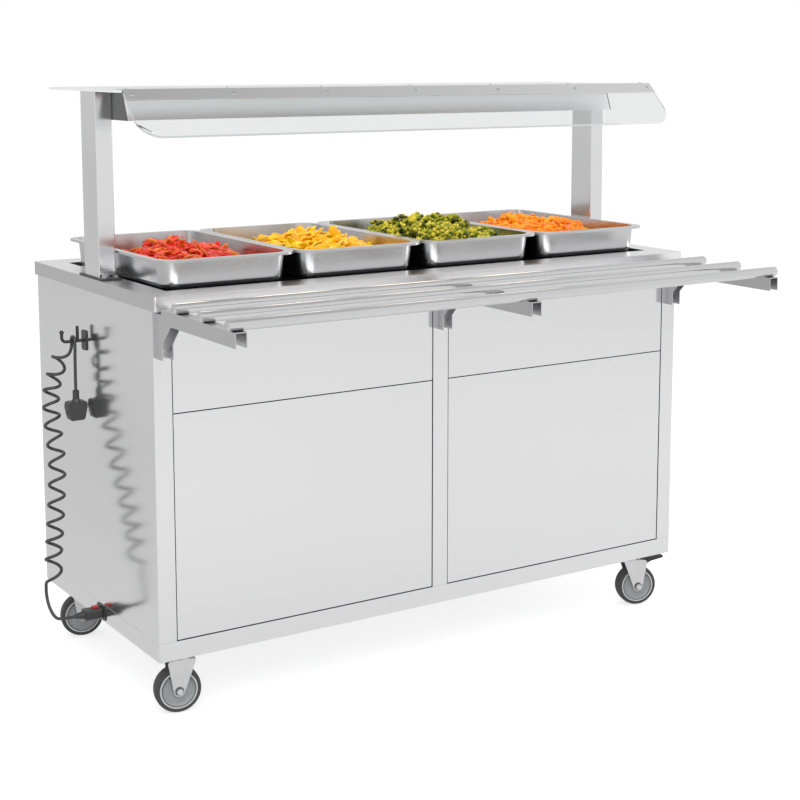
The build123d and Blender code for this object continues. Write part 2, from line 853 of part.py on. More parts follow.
def caster_fork(braked):
    """Pressed fork under a turned race, with its axle bolt; braked ones have a pedal pin."""
    head = Pos(0, crown_bottom + crown_plate / 2) * Rectangle(2 * fork_half, crown_plate)
    foot = Pos(trail, wheel_radius) * Circle(axle_boss)
    nose = Pos(brake_x, brake_z) * Circle(brake_boss)
    cheek = make_hull(head.edges() + foot.edges() + nose.edges())
    cheek -= Pos(trail, wheel_radius) * Circle(axle_radius + running_fit)
    if braked:
        cheek -= Pos(brake_x, brake_z) * Circle(brake_pin_radius + running_fit)
    fork = along_y(cheek, fork_inside, fork_outside) + along_y(cheek, -fork_outside, -fork_inside)
    fork += block(-fork_half, fork_half, -fork_outside, fork_outside, crown_bottom, crown_top)
    race = polygon(
        (0, crown_top), (race_neck, crown_top), (race_neck, crown_top + race_height * 0.4),
        (race_radius, crown_top + race_height * 0.7), (race_radius, fork_top), (0, fork_top),
    )
    fork += turned(race, Plane.XY)
    fork -= along_z(Circle(king_radius + running_fit), crown_bottom - 1, fork_top + 1)
    head_section = RegularPolygon(axle_boss * 0.6, 6)
    axle = along_y(Circle(axle_radius), -fork_outside - axle_head, fork_outside + axle_head)
    for y in (-fork_outside - axle_head, fork_outside):
        axle += along_y(head_section, y, y + axle_head)
    pieces = [fork, Pos(trail, 0, wheel_radius) * axle]
    if braked:
        pin = along_y(Pos(brake_x, brake_z) * Circle(brake_pin_radius), -fork_outside, fork_outside)
        pieces.append(pin)
    return pieces


def wheel_piece(outline):
    """Outline of radius and width, turned about the axle."""
    return turned(outline, Plane(origin=(trail, 0, wheel_radius), z_dir=(0, 1, 0)))


rim_radius = wheel_radius - tyre_depth


def tyre():
    """Rubber tread with rounded shoulders."""
    half = wheel_width / 2
    right = [(rim_radius + running_fit, half - 1), (wheel_radius - tyre_depth / 3, half),
             (wheel_radius - 1, half * 0.8), (wheel_radius, half * 0.4)]
    left = [(r, -y) for r, y in reversed(right)]
    return wheel_piece(polygon(*right, *left))


def hub():
    """Wheel centre: boss, web and rim."""
    boss = fork_inside - fit
    web = hub_web / 2
    right = [(axle_radius + running_fit, boss), (hub_boss, boss), (hub_boss + hub_step, web),
             (rim_radius * 0.82, web), (rim_radius, wheel_width / 2 - hub_step)]
    left = [(r, -y) for r, y in reversed(right)]
    return wheel_piece(polygon(*right, *left))


def brake_pedal():
    """Pedal over the trailing side of the wheel, on the fork's pedal pin."""
    half = fork_inside - pedal_side_gap
    boss = Pos(brake_x, brake_z) * Circle(brake_boss)
    knee = Pos(brake_x + 2.5 * brake_boss, brake_z + pedal_rise * 0.6) * Circle(pedal_thickness / 2)
    tip = Pos(pedal_reach, brake_z + pedal_rise) * Circle(pedal_thickness / 3)
    arm = make_hull(boss.edges() + knee.edges())
    pad = make_hull(knee.edges() + tip.edges())
    bore = Pos(brake_x, brake_z) * Circle(brake_pin_radius + running_fit)
    return along_y(arm + pad - bore, -half, half)


def cord_hook():
    """Double hook: plate, arm with a turned-up ball end, and an inner finger."""
    rod = Circle(hook_rod)
    x0 = body_left - hook_plate
    x1 = body_left - hook_reach
    path = FilletPolyline(
        (x0, hook_back, hook_height), (x1, hook_back, hook_height),
        (x1, hook_back, hook_height + hook_outer_rise), radius=hook_bend,
    )
    arm = sweep(Plane(origin=(x0, hook_back, hook_height), z_dir=(-1, 0, 0)) * rod, path=path)
    ball = Pos(x1, hook_back, hook_height + hook_outer_rise) * Sphere(hook_ball)
    finger = Pos(body_left - hook_inner, hook_back) * rod
    finger = along_z(finger, hook_height, hook_height + hook_inner_rise)
    finger += Pos(body_left - hook_inner, hook_back, hook_height + hook_inner_rise) * Sphere(hook_rod)
    plate = RectangleRounded(hook_plate_width, hook_plate_height, hook_plate_width / 5)
    plate = along_x(Pos(hook_back, hook_height) * plate, x0, body_left)
    return arm + ball + finger + plate


tail_back = hook_back - hook_rod - cord_radius - hook_clearance
tail_bend = hook_rod + cord_radius + hook_clearance
boot_top = plug_mid_height + plug_height / 2 + boot_length


def mains_plug():
    """Plug hanging from the hook, rounded at its edges, with a tapered boot."""
    half = plug_width / 2
    drop = plug_height / 2
    outline = polygon(
        (-half * 0.92, drop), (-half, drop * 0.4), (-half * 0.72, -drop),
        (half * 0.72, -drop), (half, drop * 0.4), (half * 0.92, drop),
    )
    outline = fillet(outline.vertices(), plug_height / 7)
    body = along_y(outline, -plug_thickness / 2, plug_thickness / 2)
    body = chamfer(body.faces().sort_by(Axis.Y)[0].edges(), plug_thickness / 9)
    boot = polygon(
        (0, drop - boot_radius), (boot_radius * 1.5, drop - boot_radius), (boot_radius * 1.5, drop),
        (boot_radius, drop + boot_length / 4), (boot_radius, drop + boot_length), (0, drop + boot_length),
    )
    return Pos(hook_x, tail_back, plug_mid_height) * (body + turned(boot, Plane.XY))


def plug_pins():
    """Three flat pins out of the plug's back."""
    face = tail_back + plug_thickness / 2
    pins = [(0, plug_height * 0.2, earth_pin_width, earth_pin_height, earth_pin_length)]
    flat = (flat_pin_width, flat_pin_height, flat_pin_length)
    pins += [(side * plug_width * 0.22, -plug_height * 0.25, *flat) for side in (-1, 1)]
    return [
        along_y(Pos(hook_x + x, plug_mid_height + z) * Rectangle(width, height), face, face + length)
        for x, z, width, height, length in pins
    ]


def plug_tail():
    """Straight tail from the plug up over the hook's arm and down to the curls."""
    up = Vector(hook_x, tail_back, boot_top)
    over = Vector(hook_x, tail_back, hook_height)
    crest = Vector(hook_x, hook_back, hook_height + tail_bend)
    back = Vector(hook_x, hook_back + tail_bend, hook_height)
    path = Wire(
        [
            Edge.make_line(up, over),
            Edge.make_three_point_arc(over, crest, back),
            Edge.make_line(back, curl_start),
        ]
    )
    return tube(path)


def tube(path):
    """Cord of one piece along a path of straight runs and arcs."""
    start = Plane(origin=path @ 0, z_dir=path % 0)
    cord = sweep(start * Circle(cord_radius), path=path)
    share = cord.volume / (pi * cord_radius**2 * path.length)
    print(f"cord piece: length {path.length:.0f} mm, volume over section times length {share:.4f}")
    return cord


def axis_point(control, share):
    """Point and direction on the chain of parabolas that the control points steer, share from 0 to 1."""
    spans = len(control) - 2
    at = min(int(share * spans), spans - 1)
    t = share * spans - at
    a = control[at] if at == 0 else (control[at] + control[at + 1]) * 0.5
    b = control[at + 1]
    c = control[at + 2] if at == spans - 1 else (control[at + 1] + control[at + 2]) * 0.5
    point = a * (1 - t) ** 2 + b * (2 * t * (1 - t)) + c * t**2
    return point, ((b - a) * (1 - t) + (c - b) * t).normalized()


curl_start = Vector(hook_x, hook_back + tail_bend, curl_start_height)
start_turn = radians(curl_start_angle)
axis_top = curl_start - Vector(cos(start_turn), -sin(start_turn), 0) * curl_radius
curl_drop = curl_start_height - inlet_height
axis_control = [axis_top]
axis_control += [Vector(body_left - out, back, inlet_height + curl_drop * up) for out, back, up in curl_axis]
axis_length = sum((b - a).length for a, b in zip(axis_control, axis_control[1:]))


def curl_share(turns):
    """Share of the axis at a count of turns: the curls open out over a lead at each end."""
    lead = curl_lead / axis_length
    rate = curl_turns / (1 - lead)
    slow = rate * lead / 2
    if turns < slow:
        return sqrt(2 * turns * lead / rate)
    if turns > curl_turns - slow:
        return 1 - sqrt(2 * (curl_turns - turns) * lead / rate)
    return turns / rate + lead / 2


def curl_point(turns):
    """Point of the curls at a count of turns from their upper end."""
    middle, along = axis_point(axis_control, curl_share(turns))
    side = (Vector(1, 0, 0) - along * along.X).normalized()
    angle = start_turn + 2 * pi * turns
    return middle + (side * cos(angle) + along.cross(side) * sin(angle)) * curl_radius


def curl_heading(turns):
    """Direction of the cord at a count of turns."""
    step = 0.002
    if turns <= 0 or turns >= curl_turns:
        return Vector(0, 0, -1)
    return (curl_point(turns + step) - curl_point(turns - step)).normalized()


def biarc(p0, t0, p1, t1):
    """Two arcs that leave p0 along t0 and reach p1 along t1."""
    span, both = p1 - p0, t0 + t1
    bend = 2 * (1 - t0.dot(t1))
    ahead = span.dot(both)
    reach = (sqrt(ahead**2 + bend * span.dot(span)) - ahead) / bend
    a, b = p0 + t0 * reach, p1 - t1 * reach
    joint = (a + b) * 0.5
    return [Edge.make_tangent_arc(p0, t0, joint), Edge.make_tangent_arc(joint, b - a, p1)]


def curl_gap():
    """Least gap between turns, from points along the curls."""
    steps = 48
    points = [curl_point(k / steps) for k in range(int(curl_turns * steps) + 1)]
    apart = steps // 3
    near = min(
        (points[i] - points[j]).length
        for i in range(len(points)) for j in range(i + apart, min(i + 2 * steps, len(points)))
    )
    return near - 2 * cord_radius


def cord_curl():
    """The curls as one unbroken tube with straight ends."""
    stops = [k / 4 for k in range(int(curl_turns * 4) + 1)]
    end = 2 * cord_radius
    shift = Vector(0, 0, end)
    points = [curl_point(t) for t in stops]
    points[0] = curl_start - shift
    points[-1] = points[-1] + shift
    headings = [curl_heading(t) for t in stops]
    edges = [Edge.make_line(curl_start, points[0])]
    for k in range(len(stops) - 1):
        edges += biarc(points[k], headings[k], points[k + 1], headings[k + 1])
    edges.append(Edge.make_line(points[-1], points[-1] - shift))
    tightest = min(edge.radius for edge in edges[1:-1])
    print(f"curls: {curl_turns} turns, tightest arc {tightest:.1f} mm, least gap {curl_gap():.1f} mm")
    return tube(Wire(edges))


def inlet_cord_tail():
    """Lower tail from the curls round to the connector."""
    start = curl_point(curl_turns)
    end = Vector(body_left - connector_out, connector_back, inlet_height)
    points = [start, start - Vector(0, 0, inlet_tail_drop)]
    points += [Vector(body_left - out, back, inlet_height + up) for out, back, up in inlet_tail]
    points += [end - Vector(connector_run, 0, 0), end]
    radii = []
    for a, b, c in zip(points, points[1:], points[2:]):
        half_turn = radians((b - a).get_angle(c - b)) / 2
        radii.append(0.45 * min((b - a).length, (c - b).length) / tan(half_turn))
    print("inlet tail radii", [round(r, 1) for r in radii])
    return tube(FilletPolyline(*points, radius=radii).wire())


def connector():
    """Locking connector: nose in the inlet, body, and a boot that tapers to the cord."""
    nose = Rectangle(connector_width - 2 * fit, connector_height - 2 * fit)
    grip = RectangleRounded(connector_width, connector_height, connector_height / 6)
    face = body_left - inlet_flange
    body = along_x(nose, face, face + connector_nose)
    body += along_x(grip, face - connector_body, face)
    wide = Plane(origin=(face - connector_body, 0, 0), z_dir=(-1, 0, 0))
    narrow = Plane(origin=(body_left - connector_out, 0, 0), z_dir=(-1, 0, 0))
    body += loft([wide * Circle(connector_height / 2.4), narrow * Circle(connector_boot_end)])
    return Pos(0, connector_back, inlet_height) * body


def release_tab():
    """Sliding tab on top of the connector."""
    middle = body_left - inlet_flange - connector_body / 3
    low = inlet_height + connector_height / 2 + fit
    pad = RectangleRounded(tab_length, tab_width, tab_width / 5)
    return along_z(Pos(middle, connector_back) * pad, low, low + tab_height)


def power_inlet():
    """Flanged socket let into the plinth's left wall."""
    flange = RectangleRounded(inlet_flange_width, inlet_flange_height, inlet_flange_height / 6)
    case = Rectangle(connector_width + 2 * inlet_wall - fit, connector_height + 2 * inlet_wall - fit)
    hole = Rectangle(connector_width, connector_height)
    body = along_x(flange, body_left - inlet_flange, body_left)
    body += along_x(case, body_left, body_left + inlet_depth)
    body -= along_x(hole, body_left - inlet_flange, body_left + inlet_depth - inlet_wall)
    return Pos(0, connector_back, inlet_height) * body


# Cabinet
save("base_plinth", base_plinth())
save("cabinet_floor", cabinet_floor())
save("left_side_panel", side_panel())
save("right_side_panel", flipped(side_panel()))
front_corner = corner_upright(body_front, 1)
rear_corner = corner_upright(body_back, -1)
save("uprights", front_corner, middle_upright(), flipped(front_corner), rear_corner, flipped(rear_corner))
save("front_panels", *front_panels())
save("control_panel", control_panel())
save("heat_regulators", *[regulator(x) for x in knob_places.values()])
for node, x in knob_places.items():
    save(node, knob(x))
save("switch_frame", switch_frame())
save("power_switch", rocker())
lower_track = door_track(floor_top + track_base, track_rib_low)
upper_track = door_track(control_bottom - track_base, -track_rib_high)
save("door_tracks", lower_track, upper_track)
save("door_left", sliding_door(-1, 0))
save("door_right", sliding_door(1, 1))

# Counter top and hot plate
save("countertop", countertop())
save("glass_hotplate", glass_hotplate())
save("heating_elements", *[heating_element(x) for x in pan_places])
save("heater_tray", heater_tray())
for k, x in enumerate(pan_places):
    save(f"pan_{k + 1}", gastro_pan(x))

# Gantry
save("gantry_posts", gantry_post(-1), gantry_post(1))
save("post_feet", post_foot(-1), post_foot(1))
save("gantry_housing", gantry_housing())
save("gantry_end_caps", gantry_end_cap(), flipped(gantry_end_cap()))
holders = [lamp_holder(x + side * holder_reach) for x in pan_places for side in (-1, 1)]
save("lamp_reflector", lamp_reflector())
save("heat_lamps", *[heat_lamp(x) for x in pan_places], *holders)
save("top_glass_shelf", top_glass_shelf())
save("sneeze_glass", sneeze_glass())
save("clamp_strip", clamp_strip())

# Tray slide
save("tray_rails", *[tray_rail(y) for y in rail_places])
right_caps = [rail_cap(y) for y in rail_places]
save("rail_end_caps", *right_caps, *[flipped(cap) for cap in right_caps])
save("tray_brackets", *[tray_bracket(x) for x in bracket_places])
save("frame_bolts", *frame_bolts(), *strip_screws())

# Casters
caster_places = {
    "front_left": (-caster_x, caster_front), "front_right": (caster_x, caster_front),
    "rear_left": (-caster_x, caster_back), "rear_right": (caster_x, caster_back),
}
save("caster_plates", *[Pos(x, y, 0) * caster_plate() for x, y in caster_places.values()])
for corner, (x, y) in caster_places.items():
    seat = Pos(x, y, 0) * Rot(0, 0, caster_headings[corner])
    save(f"fork_{corner}", *[seat * piece for piece in caster_fork(corner in braked_casters)])
    save(f"tyre_{corner}", seat * tyre())
    save(f"hub_{corner}", seat * hub())
    if corner in braked_casters:
        save(f"pedal_{corner}", seat * brake_pedal())

# Mains lead
save("cord_hook", cord_hook())
save("mains_plug", mains_plug())
save("plug_pins", *plug_pins())
save("cord_plug_tail", plug_tail())
save("cord_curl", cord_curl())
save("cord_inlet_tail", inlet_cord_tail())
save("power_inlet", power_inlet())
save("cord_connector", connector())
save("release_tab", release_tab())

whole = Compound(list(made.values())).bounding_box()
print(f"{len(made)} nodes, {whole.size.X:.0f} x {whole.size.Y:.0f} x {whole.size.Z:.0f} mm")
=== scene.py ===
# %% [markdown]
# # A mobile hot buffet counter, dressed in Blender
# The solids of this counter are already made, as one fixed frame in metres. This lesson loads them, sets the
# camera, and then gives every piece its finish and its small details, one cell at a time. The box round the
# solids is kept from the start, because nothing that is added later may stand outside it.

# %% Load the solids
import bpy
import bmesh
import random
from math import cos, hypot, pi, radians, sin, sqrt
from mathutils import Matrix, Vector


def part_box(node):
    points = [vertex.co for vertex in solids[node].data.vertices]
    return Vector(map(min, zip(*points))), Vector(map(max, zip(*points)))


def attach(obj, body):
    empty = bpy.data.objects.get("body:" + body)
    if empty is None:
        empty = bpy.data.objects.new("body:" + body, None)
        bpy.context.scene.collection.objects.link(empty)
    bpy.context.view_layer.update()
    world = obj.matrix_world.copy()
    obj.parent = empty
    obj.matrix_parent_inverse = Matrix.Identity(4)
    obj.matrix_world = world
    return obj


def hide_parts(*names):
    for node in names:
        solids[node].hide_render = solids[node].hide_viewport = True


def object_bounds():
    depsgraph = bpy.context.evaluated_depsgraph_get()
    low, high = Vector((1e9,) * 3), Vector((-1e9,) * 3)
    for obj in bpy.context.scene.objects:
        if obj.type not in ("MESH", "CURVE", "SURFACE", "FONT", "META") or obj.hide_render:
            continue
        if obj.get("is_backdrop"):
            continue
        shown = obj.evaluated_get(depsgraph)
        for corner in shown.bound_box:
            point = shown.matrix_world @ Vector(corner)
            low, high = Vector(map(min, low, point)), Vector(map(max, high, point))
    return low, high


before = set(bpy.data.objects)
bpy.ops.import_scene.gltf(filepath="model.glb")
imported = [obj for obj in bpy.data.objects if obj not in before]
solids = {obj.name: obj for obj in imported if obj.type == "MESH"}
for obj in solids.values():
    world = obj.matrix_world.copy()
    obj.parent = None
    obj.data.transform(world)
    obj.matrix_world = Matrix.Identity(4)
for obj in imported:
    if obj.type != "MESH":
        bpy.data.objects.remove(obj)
solid_box = [list(corner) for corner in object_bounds()]
print("solids:", len(solids), "box:", [[round(v, 3) for v in corner] for corner in solid_box])

# %% [markdown]
# A counter is drawn in millimetres, and Blender works in metres. A helper turns a drawn place into a place in the
# scene, so that the numbers below can be checked with a ruler on a real counter. It measures from the floor under
# the middle of the counter top, which another helper finds from the box of that solid.

# %% Places in millimetres


def middle_of(name):
    """The middle of a solid's box."""
    low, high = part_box(name)
    return (low + high) / 2


top_middle = middle_of("countertop")


def at(x, y, z):
    """A place in metres from millimetres right of, behind and above the floor under the counter's middle."""
    return Vector((top_middle.x + x / 1000, top_middle.y + y / 1000, z / 1000))


print("middle of the counter top:", [round(v, 3) for v in top_middle])

# %% [markdown]
# The photograph was taken from the front left, a little above the pans, with a long lens. Its upright lines are
# almost parallel, so the camera leans down only 8 degrees and a small shift does the rest. A larger shift would
# match the upright lines still better, but it would push the counter out of the frame in other views.

# %% Camera
camera_lean, camera_turn = 7.938, -32.679
camera_data = bpy.data.cameras.new("photo_camera")
camera_data.lens = 71.98
camera_data.sensor_width = 36
camera_data.shift_y = -0.15
camera = bpy.data.objects.new("photo_camera", camera_data)
camera.location = at(-1981.1, -3239.3, 1372.1)
camera.rotation_euler = (radians(90 - camera_lean), 0, radians(camera_turn))
bpy.context.collection.objects.link(camera)
bpy.context.scene.camera = camera
print("camera at", [round(v, 3) for v in camera.location])

# %% [markdown]
# The curly mains lead is one length of rubber cable. A straight tail rises from the plug and goes over the hook,
# then the cable winds down in a dozen loose curls and leaves in a short tail to the connector. Drawing the curls
# by hand would give uneven turns. Here the line that the curls go round is a smooth curve of its own, Blender
# works out the points along it, and the turns are laid round those points.

# %% The line that the curls go round
side_face = -696.0
curl_radius, curl_turns, curl_opening, first_angle = 17.0, 12.5, 10.0, radians(26)


def smooth_line(name, points, fineness):
    """A smooth open curve led by control points, with a count of steps from one to the next."""
    line = bpy.data.curves.new(name, "CURVE")
    line.dimensions = "3D"
    spline = line.splines.new("NURBS")
    spline.points.add(len(points) - 1)
    for point, place in zip(spline.points, points):
        point.co = (*place, 1)
    spline.order_u = 3
    spline.use_endpoint_u = True
    spline.resolution_u = fineness
    made = bpy.data.objects.new(name, line)
    bpy.context.collection.objects.link(made)
    return made


def beside(out, back, up):
    """A place measured out from the left side panel, back from the counter's middle and up from the floor."""
    return at(side_face - out, back, up)


curls_begin = beside(27, 52.5, 745)
to_axis = Vector((cos(first_angle), -sin(first_angle), 0)) * (curl_radius / 1000)
axis_route = [curls_begin - to_axis] + [beside(*place) for place in (
    (49.8, 85.1, 699), (64.9, 93.7, 638.8), (67.3, 79.4, 571), (68.1, 52, 496),
    (79.4, 33.3, 417), (90.4, 21.6, 342), (98.3, 15.7, 279), (98.2, 16, 224))]
axis_curve = smooth_line("curl_axis", axis_route, 24)
axis_mesh = bpy.data.meshes.new_from_object(axis_curve)
axis_points = [vertex.co.copy() for vertex in axis_mesh.vertices]
axis_length = sum((b - a).length for a, b in zip(axis_points, axis_points[1:]))
bpy.data.objects.remove(axis_curve)
bpy.data.meshes.remove(axis_mesh)
print("line of the curls:", len(axis_points), "points,", round(axis_length, 3), "m")

# %% [markdown]
# Each turn gets 16 points. The first and last turns are drawn out, because a curly cable opens where it passes
# into its straight ends. All the points, from the connector up through the curls to the plug, then lead one
# single curve with a round bevel, so the cable has no joint anywhere along it.

# %% The mains lead
points_per_turn = 16
cable_radius = 0.0035


def axis_share(turns):
    """Share of the line that a count of turns has reached: slower at both ends, even between."""
    opening = curl_opening / 1000 / axis_length
    rate = curl_turns / (1 - opening)
    slow = rate * opening / 2
    if turns < slow:
        return sqrt(2 * turns * opening / rate)
    if turns > curl_turns - slow:
        return 1 - sqrt(2 * (curl_turns - turns) * opening / rate)
    return turns / rate + opening / 2


def curl_point(turns):
    """A point on the curls, round the line's own points."""
    place = axis_share(turns) * (len(axis_points) - 1)
    k = min(int(place), len(axis_points) - 2)
    middle = axis_points[k].lerp(axis_points[k + 1], place - k)
    along = (axis_points[k + 1] - axis_points[k]).normalized()
    side = (Vector((1, 0, 0)) - along * along.x).normalized()
    angle = first_angle + 2 * pi * turns
    return middle + (side * cos(angle) + along.cross(side) * sin(angle)) * (curl_radius / 1000)


plug_tail = [beside(*place) for place in (
    (27, 37.5, 649), (27, 37.5, 715), (27, 33, 767), (27, 57, 767), (27, 52.5, 745))]
curls = [curl_point(k / points_per_turn) for k in range(1, int(curl_turns * points_per_turn))]
curls_end = curl_point(curl_turns)
inlet_tail = [curls_end, curls_end - Vector((0, 0, 0.02))] + [beside(*place) for place in (
    (113.5, 9, 180), (106.5, -8, 159), (93, -12, 155), (62, -12, 155))]
lead = smooth_line("mains_lead", (plug_tail + curls + inlet_tail)[::-1], 4)
lead.data.bevel_depth = cable_radius
lead.data.bevel_resolution = 4
print("mains lead:", len(lead.data.splines[0].points), "control points")

# %% [markdown]
# A node group is a small machine for finishes: sockets in, nodes between, sockets out. Wiring each one by hand in
# the editor is fine for a single material. This counter has more than thirty, so one helper makes an empty group
# with named sockets, and another makes a math node with its inputs set or linked. Every group here gives the same
# three things and takes the same two colours and two roughnesses, so these sockets are listed once.

# %% Helpers for node groups


def new_group(name, inputs, outputs):
    """An empty shader node group with named sockets."""
    group = bpy.data.node_groups.new(name, "ShaderNodeTree")
    for label, kind, value in inputs:
        socket = group.interface.new_socket(label, in_out="INPUT", socket_type=kind)
        socket.default_value = value
    for label, kind in outputs:
        group.interface.new_socket(label, in_out="OUTPUT", socket_type=kind)
    start = group.nodes.new("NodeGroupInput")
    end = group.nodes.new("NodeGroupOutput")
    return group, start, end


def join(tree, operation, *inputs, kind="ShaderNodeMath"):
    """A math node with its inputs set or linked."""
    node = tree.nodes.new(kind)
    node.operation = operation
    for socket, value in zip(node.inputs, inputs):
        if isinstance(value, bpy.types.NodeSocket):
            tree.links.new(value, socket)
        else:
            socket.default_value = value
    gives_number = kind == "ShaderNodeMath" or operation == "DOT_PRODUCT"
    return node.outputs["Value" if gives_number else "Vector"]


surface_outputs = [("Color", "NodeSocketColor"), ("Roughness", "NodeSocketFloat"), ("Height", "NodeSocketFloat")]
surface_inputs = [("Bright", "NodeSocketColor", (0.7, 0.7, 0.7, 1)), ("Dull", "NodeSocketColor", (0.6, 0.6, 0.6, 1)),
                  ("Smooth", "NodeSocketFloat", 0.2), ("Rough", "NodeSocketFloat", 0.4)]
print("every group gives:", [label for label, kind in surface_outputs])

# %% [markdown]
# A surface is never one even tone. Each group below takes a noise, blends two colours by it, and spreads it between
# two roughnesses. A noise could be used as it comes, from 0 to 1, but most of it lies between 0.3 and 0.7, and the
# two ends would hardly be seen. So that middle part is spread over the whole range.

# %% Nodes for uneven surfaces
noise_low, noise_high = 0.3, 0.7


def add_noise(group, vector, scale, detail):
    """A noise texture on a vector; the scale is a number or a socket."""
    noise = group.nodes.new("ShaderNodeTexNoise")
    group.links.new(vector, noise.inputs["Vector"])
    noise.inputs["Detail"].default_value = detail
    if isinstance(scale, (int, float)):
        noise.inputs["Scale"].default_value = scale
    else:
        group.links.new(scale, noise.inputs["Scale"])
    return noise.outputs["Fac"]


def blend_colours(group, share, first, second):
    """A colour between two colour sockets."""
    mix = group.nodes.new("ShaderNodeMix")
    mix.data_type = "RGBA"
    group.links.new(share, mix.inputs["Factor"])
    group.links.new(first, mix.inputs["A"])
    group.links.new(second, mix.inputs["B"])
    return mix.outputs["Result"]


def spread(group, value, low, high):
    """The middle values of a noise, spread between two sockets."""
    node = group.nodes.new("ShaderNodeMapRange")
    group.links.new(value, node.inputs["Value"])
    node.inputs["From Min"].default_value = noise_low
    node.inputs["From Max"].default_value = noise_high
    group.links.new(low, node.inputs["To Min"])
    group.links.new(high, node.inputs["To Max"])
    return node.outputs["Result"]


print("a noise lies between", noise_low, "and", noise_high)

# %% [markdown]
# Brushed stainless steel looks satin because its surface is full of fine straight scratches. The scratches could
# be painted, but a noise that is stretched in one direction gives them at any size. This node group puts out a
# colour, a roughness and a height, and every steel finish below uses it with its own stretch and tones. An input for
# the ends paints shade into the colour of the faces that look along the counter, so that the folds over the two
# ends of the counter top come out darker than its length.

# %% Node group for brushed sheet
brushed, start, end = new_group(
    "brushed_sheet",
    [("Stretch", "NodeSocketVector", (4, 400, 400)), ("Ends", "NodeSocketFloat", 1.0)] + surface_inputs,
    surface_outputs)
place = brushed.nodes.new("ShaderNodeTexCoord")
stretched = join(brushed, "MULTIPLY", place.outputs["Object"], start.outputs["Stretch"], kind="ShaderNodeVectorMath")
scratches = add_noise(brushed, stretched, 1.0, 3)
clouds = add_noise(brushed, place.outputs["Object"], 2.2, 2)
both = join(brushed, "MULTIPLY_ADD", scratches, 0.5, join(brushed, "MULTIPLY", clouds, 0.5))
colour = blend_colours(brushed, both, start.outputs["Dull"], start.outputs["Bright"])
# Painted shade: faces that look along the counter get their colour darkened by the input for the ends.
facing = brushed.nodes.new("ShaderNodeSeparateXYZ")
brushed.links.new(place.outputs["Normal"], facing.inputs[0])
shade = brushed.nodes.new("ShaderNodeMapRange")
brushed.links.new(join(brushed, "MULTIPLY", facing.outputs["X"], facing.outputs["X"]), shade.inputs["Value"])
shade.inputs["To Min"].default_value = 1
brushed.links.new(start.outputs["Ends"], shade.inputs["To Max"])
tone = brushed.nodes.new("ShaderNodeVectorMath")
tone.operation = "SCALE"
brushed.links.new(colour, tone.inputs[0])
brushed.links.new(shade.outputs["Result"], tone.inputs["Scale"])
brushed.links.new(tone.outputs["Vector"], end.inputs["Color"])
brushed.links.new(spread(brushed, both, start.outputs["Smooth"], start.outputs["Rough"]), end.inputs["Roughness"])
brushed.links.new(scratches, end.inputs["Height"])
print("group:", brushed.name, len(brushed.nodes), "nodes")

# %% [markdown]
# Rubber, moulded plastic and food have no direction. Their skin is a fine pimple over slow changes of tone, so a
# second group mixes a fine and a coarse noise. The size of the pimple is an input, because a tyre's is large and
# a switch's is almost too small to see.

# %% Node group for moulded and natural skins
skin, start, end = new_group("moulded_skin", [("Scale", "NodeSocketFloat", 400)] + surface_inputs, surface_outputs)
place = skin.nodes.new("ShaderNodeTexCoord")
fine = add_noise(skin, place.outputs["Object"], start.outputs["Scale"], 4)
coarse = add_noise(skin, place.outputs["Object"], join(skin, "MULTIPLY", start.outputs["Scale"], 0.12), 3)
skin.links.new(blend_colours(skin, coarse, start.outputs["Dull"], start.outputs["Bright"]), end.inputs["Color"])
skin.links.new(spread(skin, coarse, start.outputs["Smooth"], start.outputs["Rough"]), end.inputs["Roughness"])
skin.links.new(fine, end.inputs["Height"])
print("group:", skin.name, len(skin.nodes), "nodes")

# %% [markdown]
# A finish is one material: the group gives what changes over the surface, and the plain numbers, such as how
# metallic it is, stay on the shader itself. The bump is kept very shallow, a few hundredths of a millimetre,
# because a deep one would turn brushed steel into sandpaper.

# %% Helpers for finishes


def finish(name, group, values, bump=0.0, depth=0.0002, **plain):
    """A material: one group for what varies, plain numbers on the shader's own sockets."""
    material = bpy.data.materials.new(name)
    material.use_nodes = True
    tree = material.node_tree
    shader = tree.nodes["Principled BSDF"]
    node = tree.nodes.new("ShaderNodeGroup")
    node.node_tree = group
    for label, value in values.items():
        node.inputs[label].default_value = value
    tree.links.new(node.outputs["Color"], shader.inputs["Base Color"])
    tree.links.new(node.outputs["Roughness"], shader.inputs["Roughness"])
    if bump:
        relief = tree.nodes.new("ShaderNodeBump")
        relief.inputs["Strength"].default_value = bump
        relief.inputs["Distance"].default_value = depth
        tree.links.new(node.outputs["Height"], relief.inputs["Height"])
        tree.links.new(relief.outputs["Normal"], shader.inputs["Normal"])
    for label, value in plain.items():
        shader.inputs[label.replace("_", " ")].default_value = value
    return material


def tones(bright, dull, smooth, rough, **more):
    """The inputs that every group shares, from two colours and two roughnesses."""
    return {"Bright": (*bright, 1), "Dull": (*dull, 1), "Smooth": smooth, "Rough": rough, **more}


def grey(value):
    """A grey with a trace of blue, as steel has."""
    return (value, value, value * 1.01)


def steel(name, bright, dull, smooth, rough, stretch, bump=0.15, **more):
    """A brushed steel of two greys, with scratches stretched in one direction."""
    values = tones(grey(bright), grey(dull), smooth, rough, Stretch=stretch, **more)
    return finish(name, brushed, values, bump, Metallic=1)


def moulded(name, bright, dull, smooth, rough, scale, bump=0.2, **plain):
    """A skin without direction, with a pimple of one size."""
    return finish(name, skin, tones(bright, dull, smooth, rough, Scale=scale), bump, **plain)


print("a steel grey:", [round(v, 4) for v in grey(0.75)])

# %% [markdown]
# The counter has seven steels. Sheet on the upright walls is brushed level, the top and its fittings lengthwise,
# and the tubes of the tray slide are almost polished. Each could be one plain grey, but then all would look like
# the same plastic. A stretch, two tones and two roughnesses tell them apart.

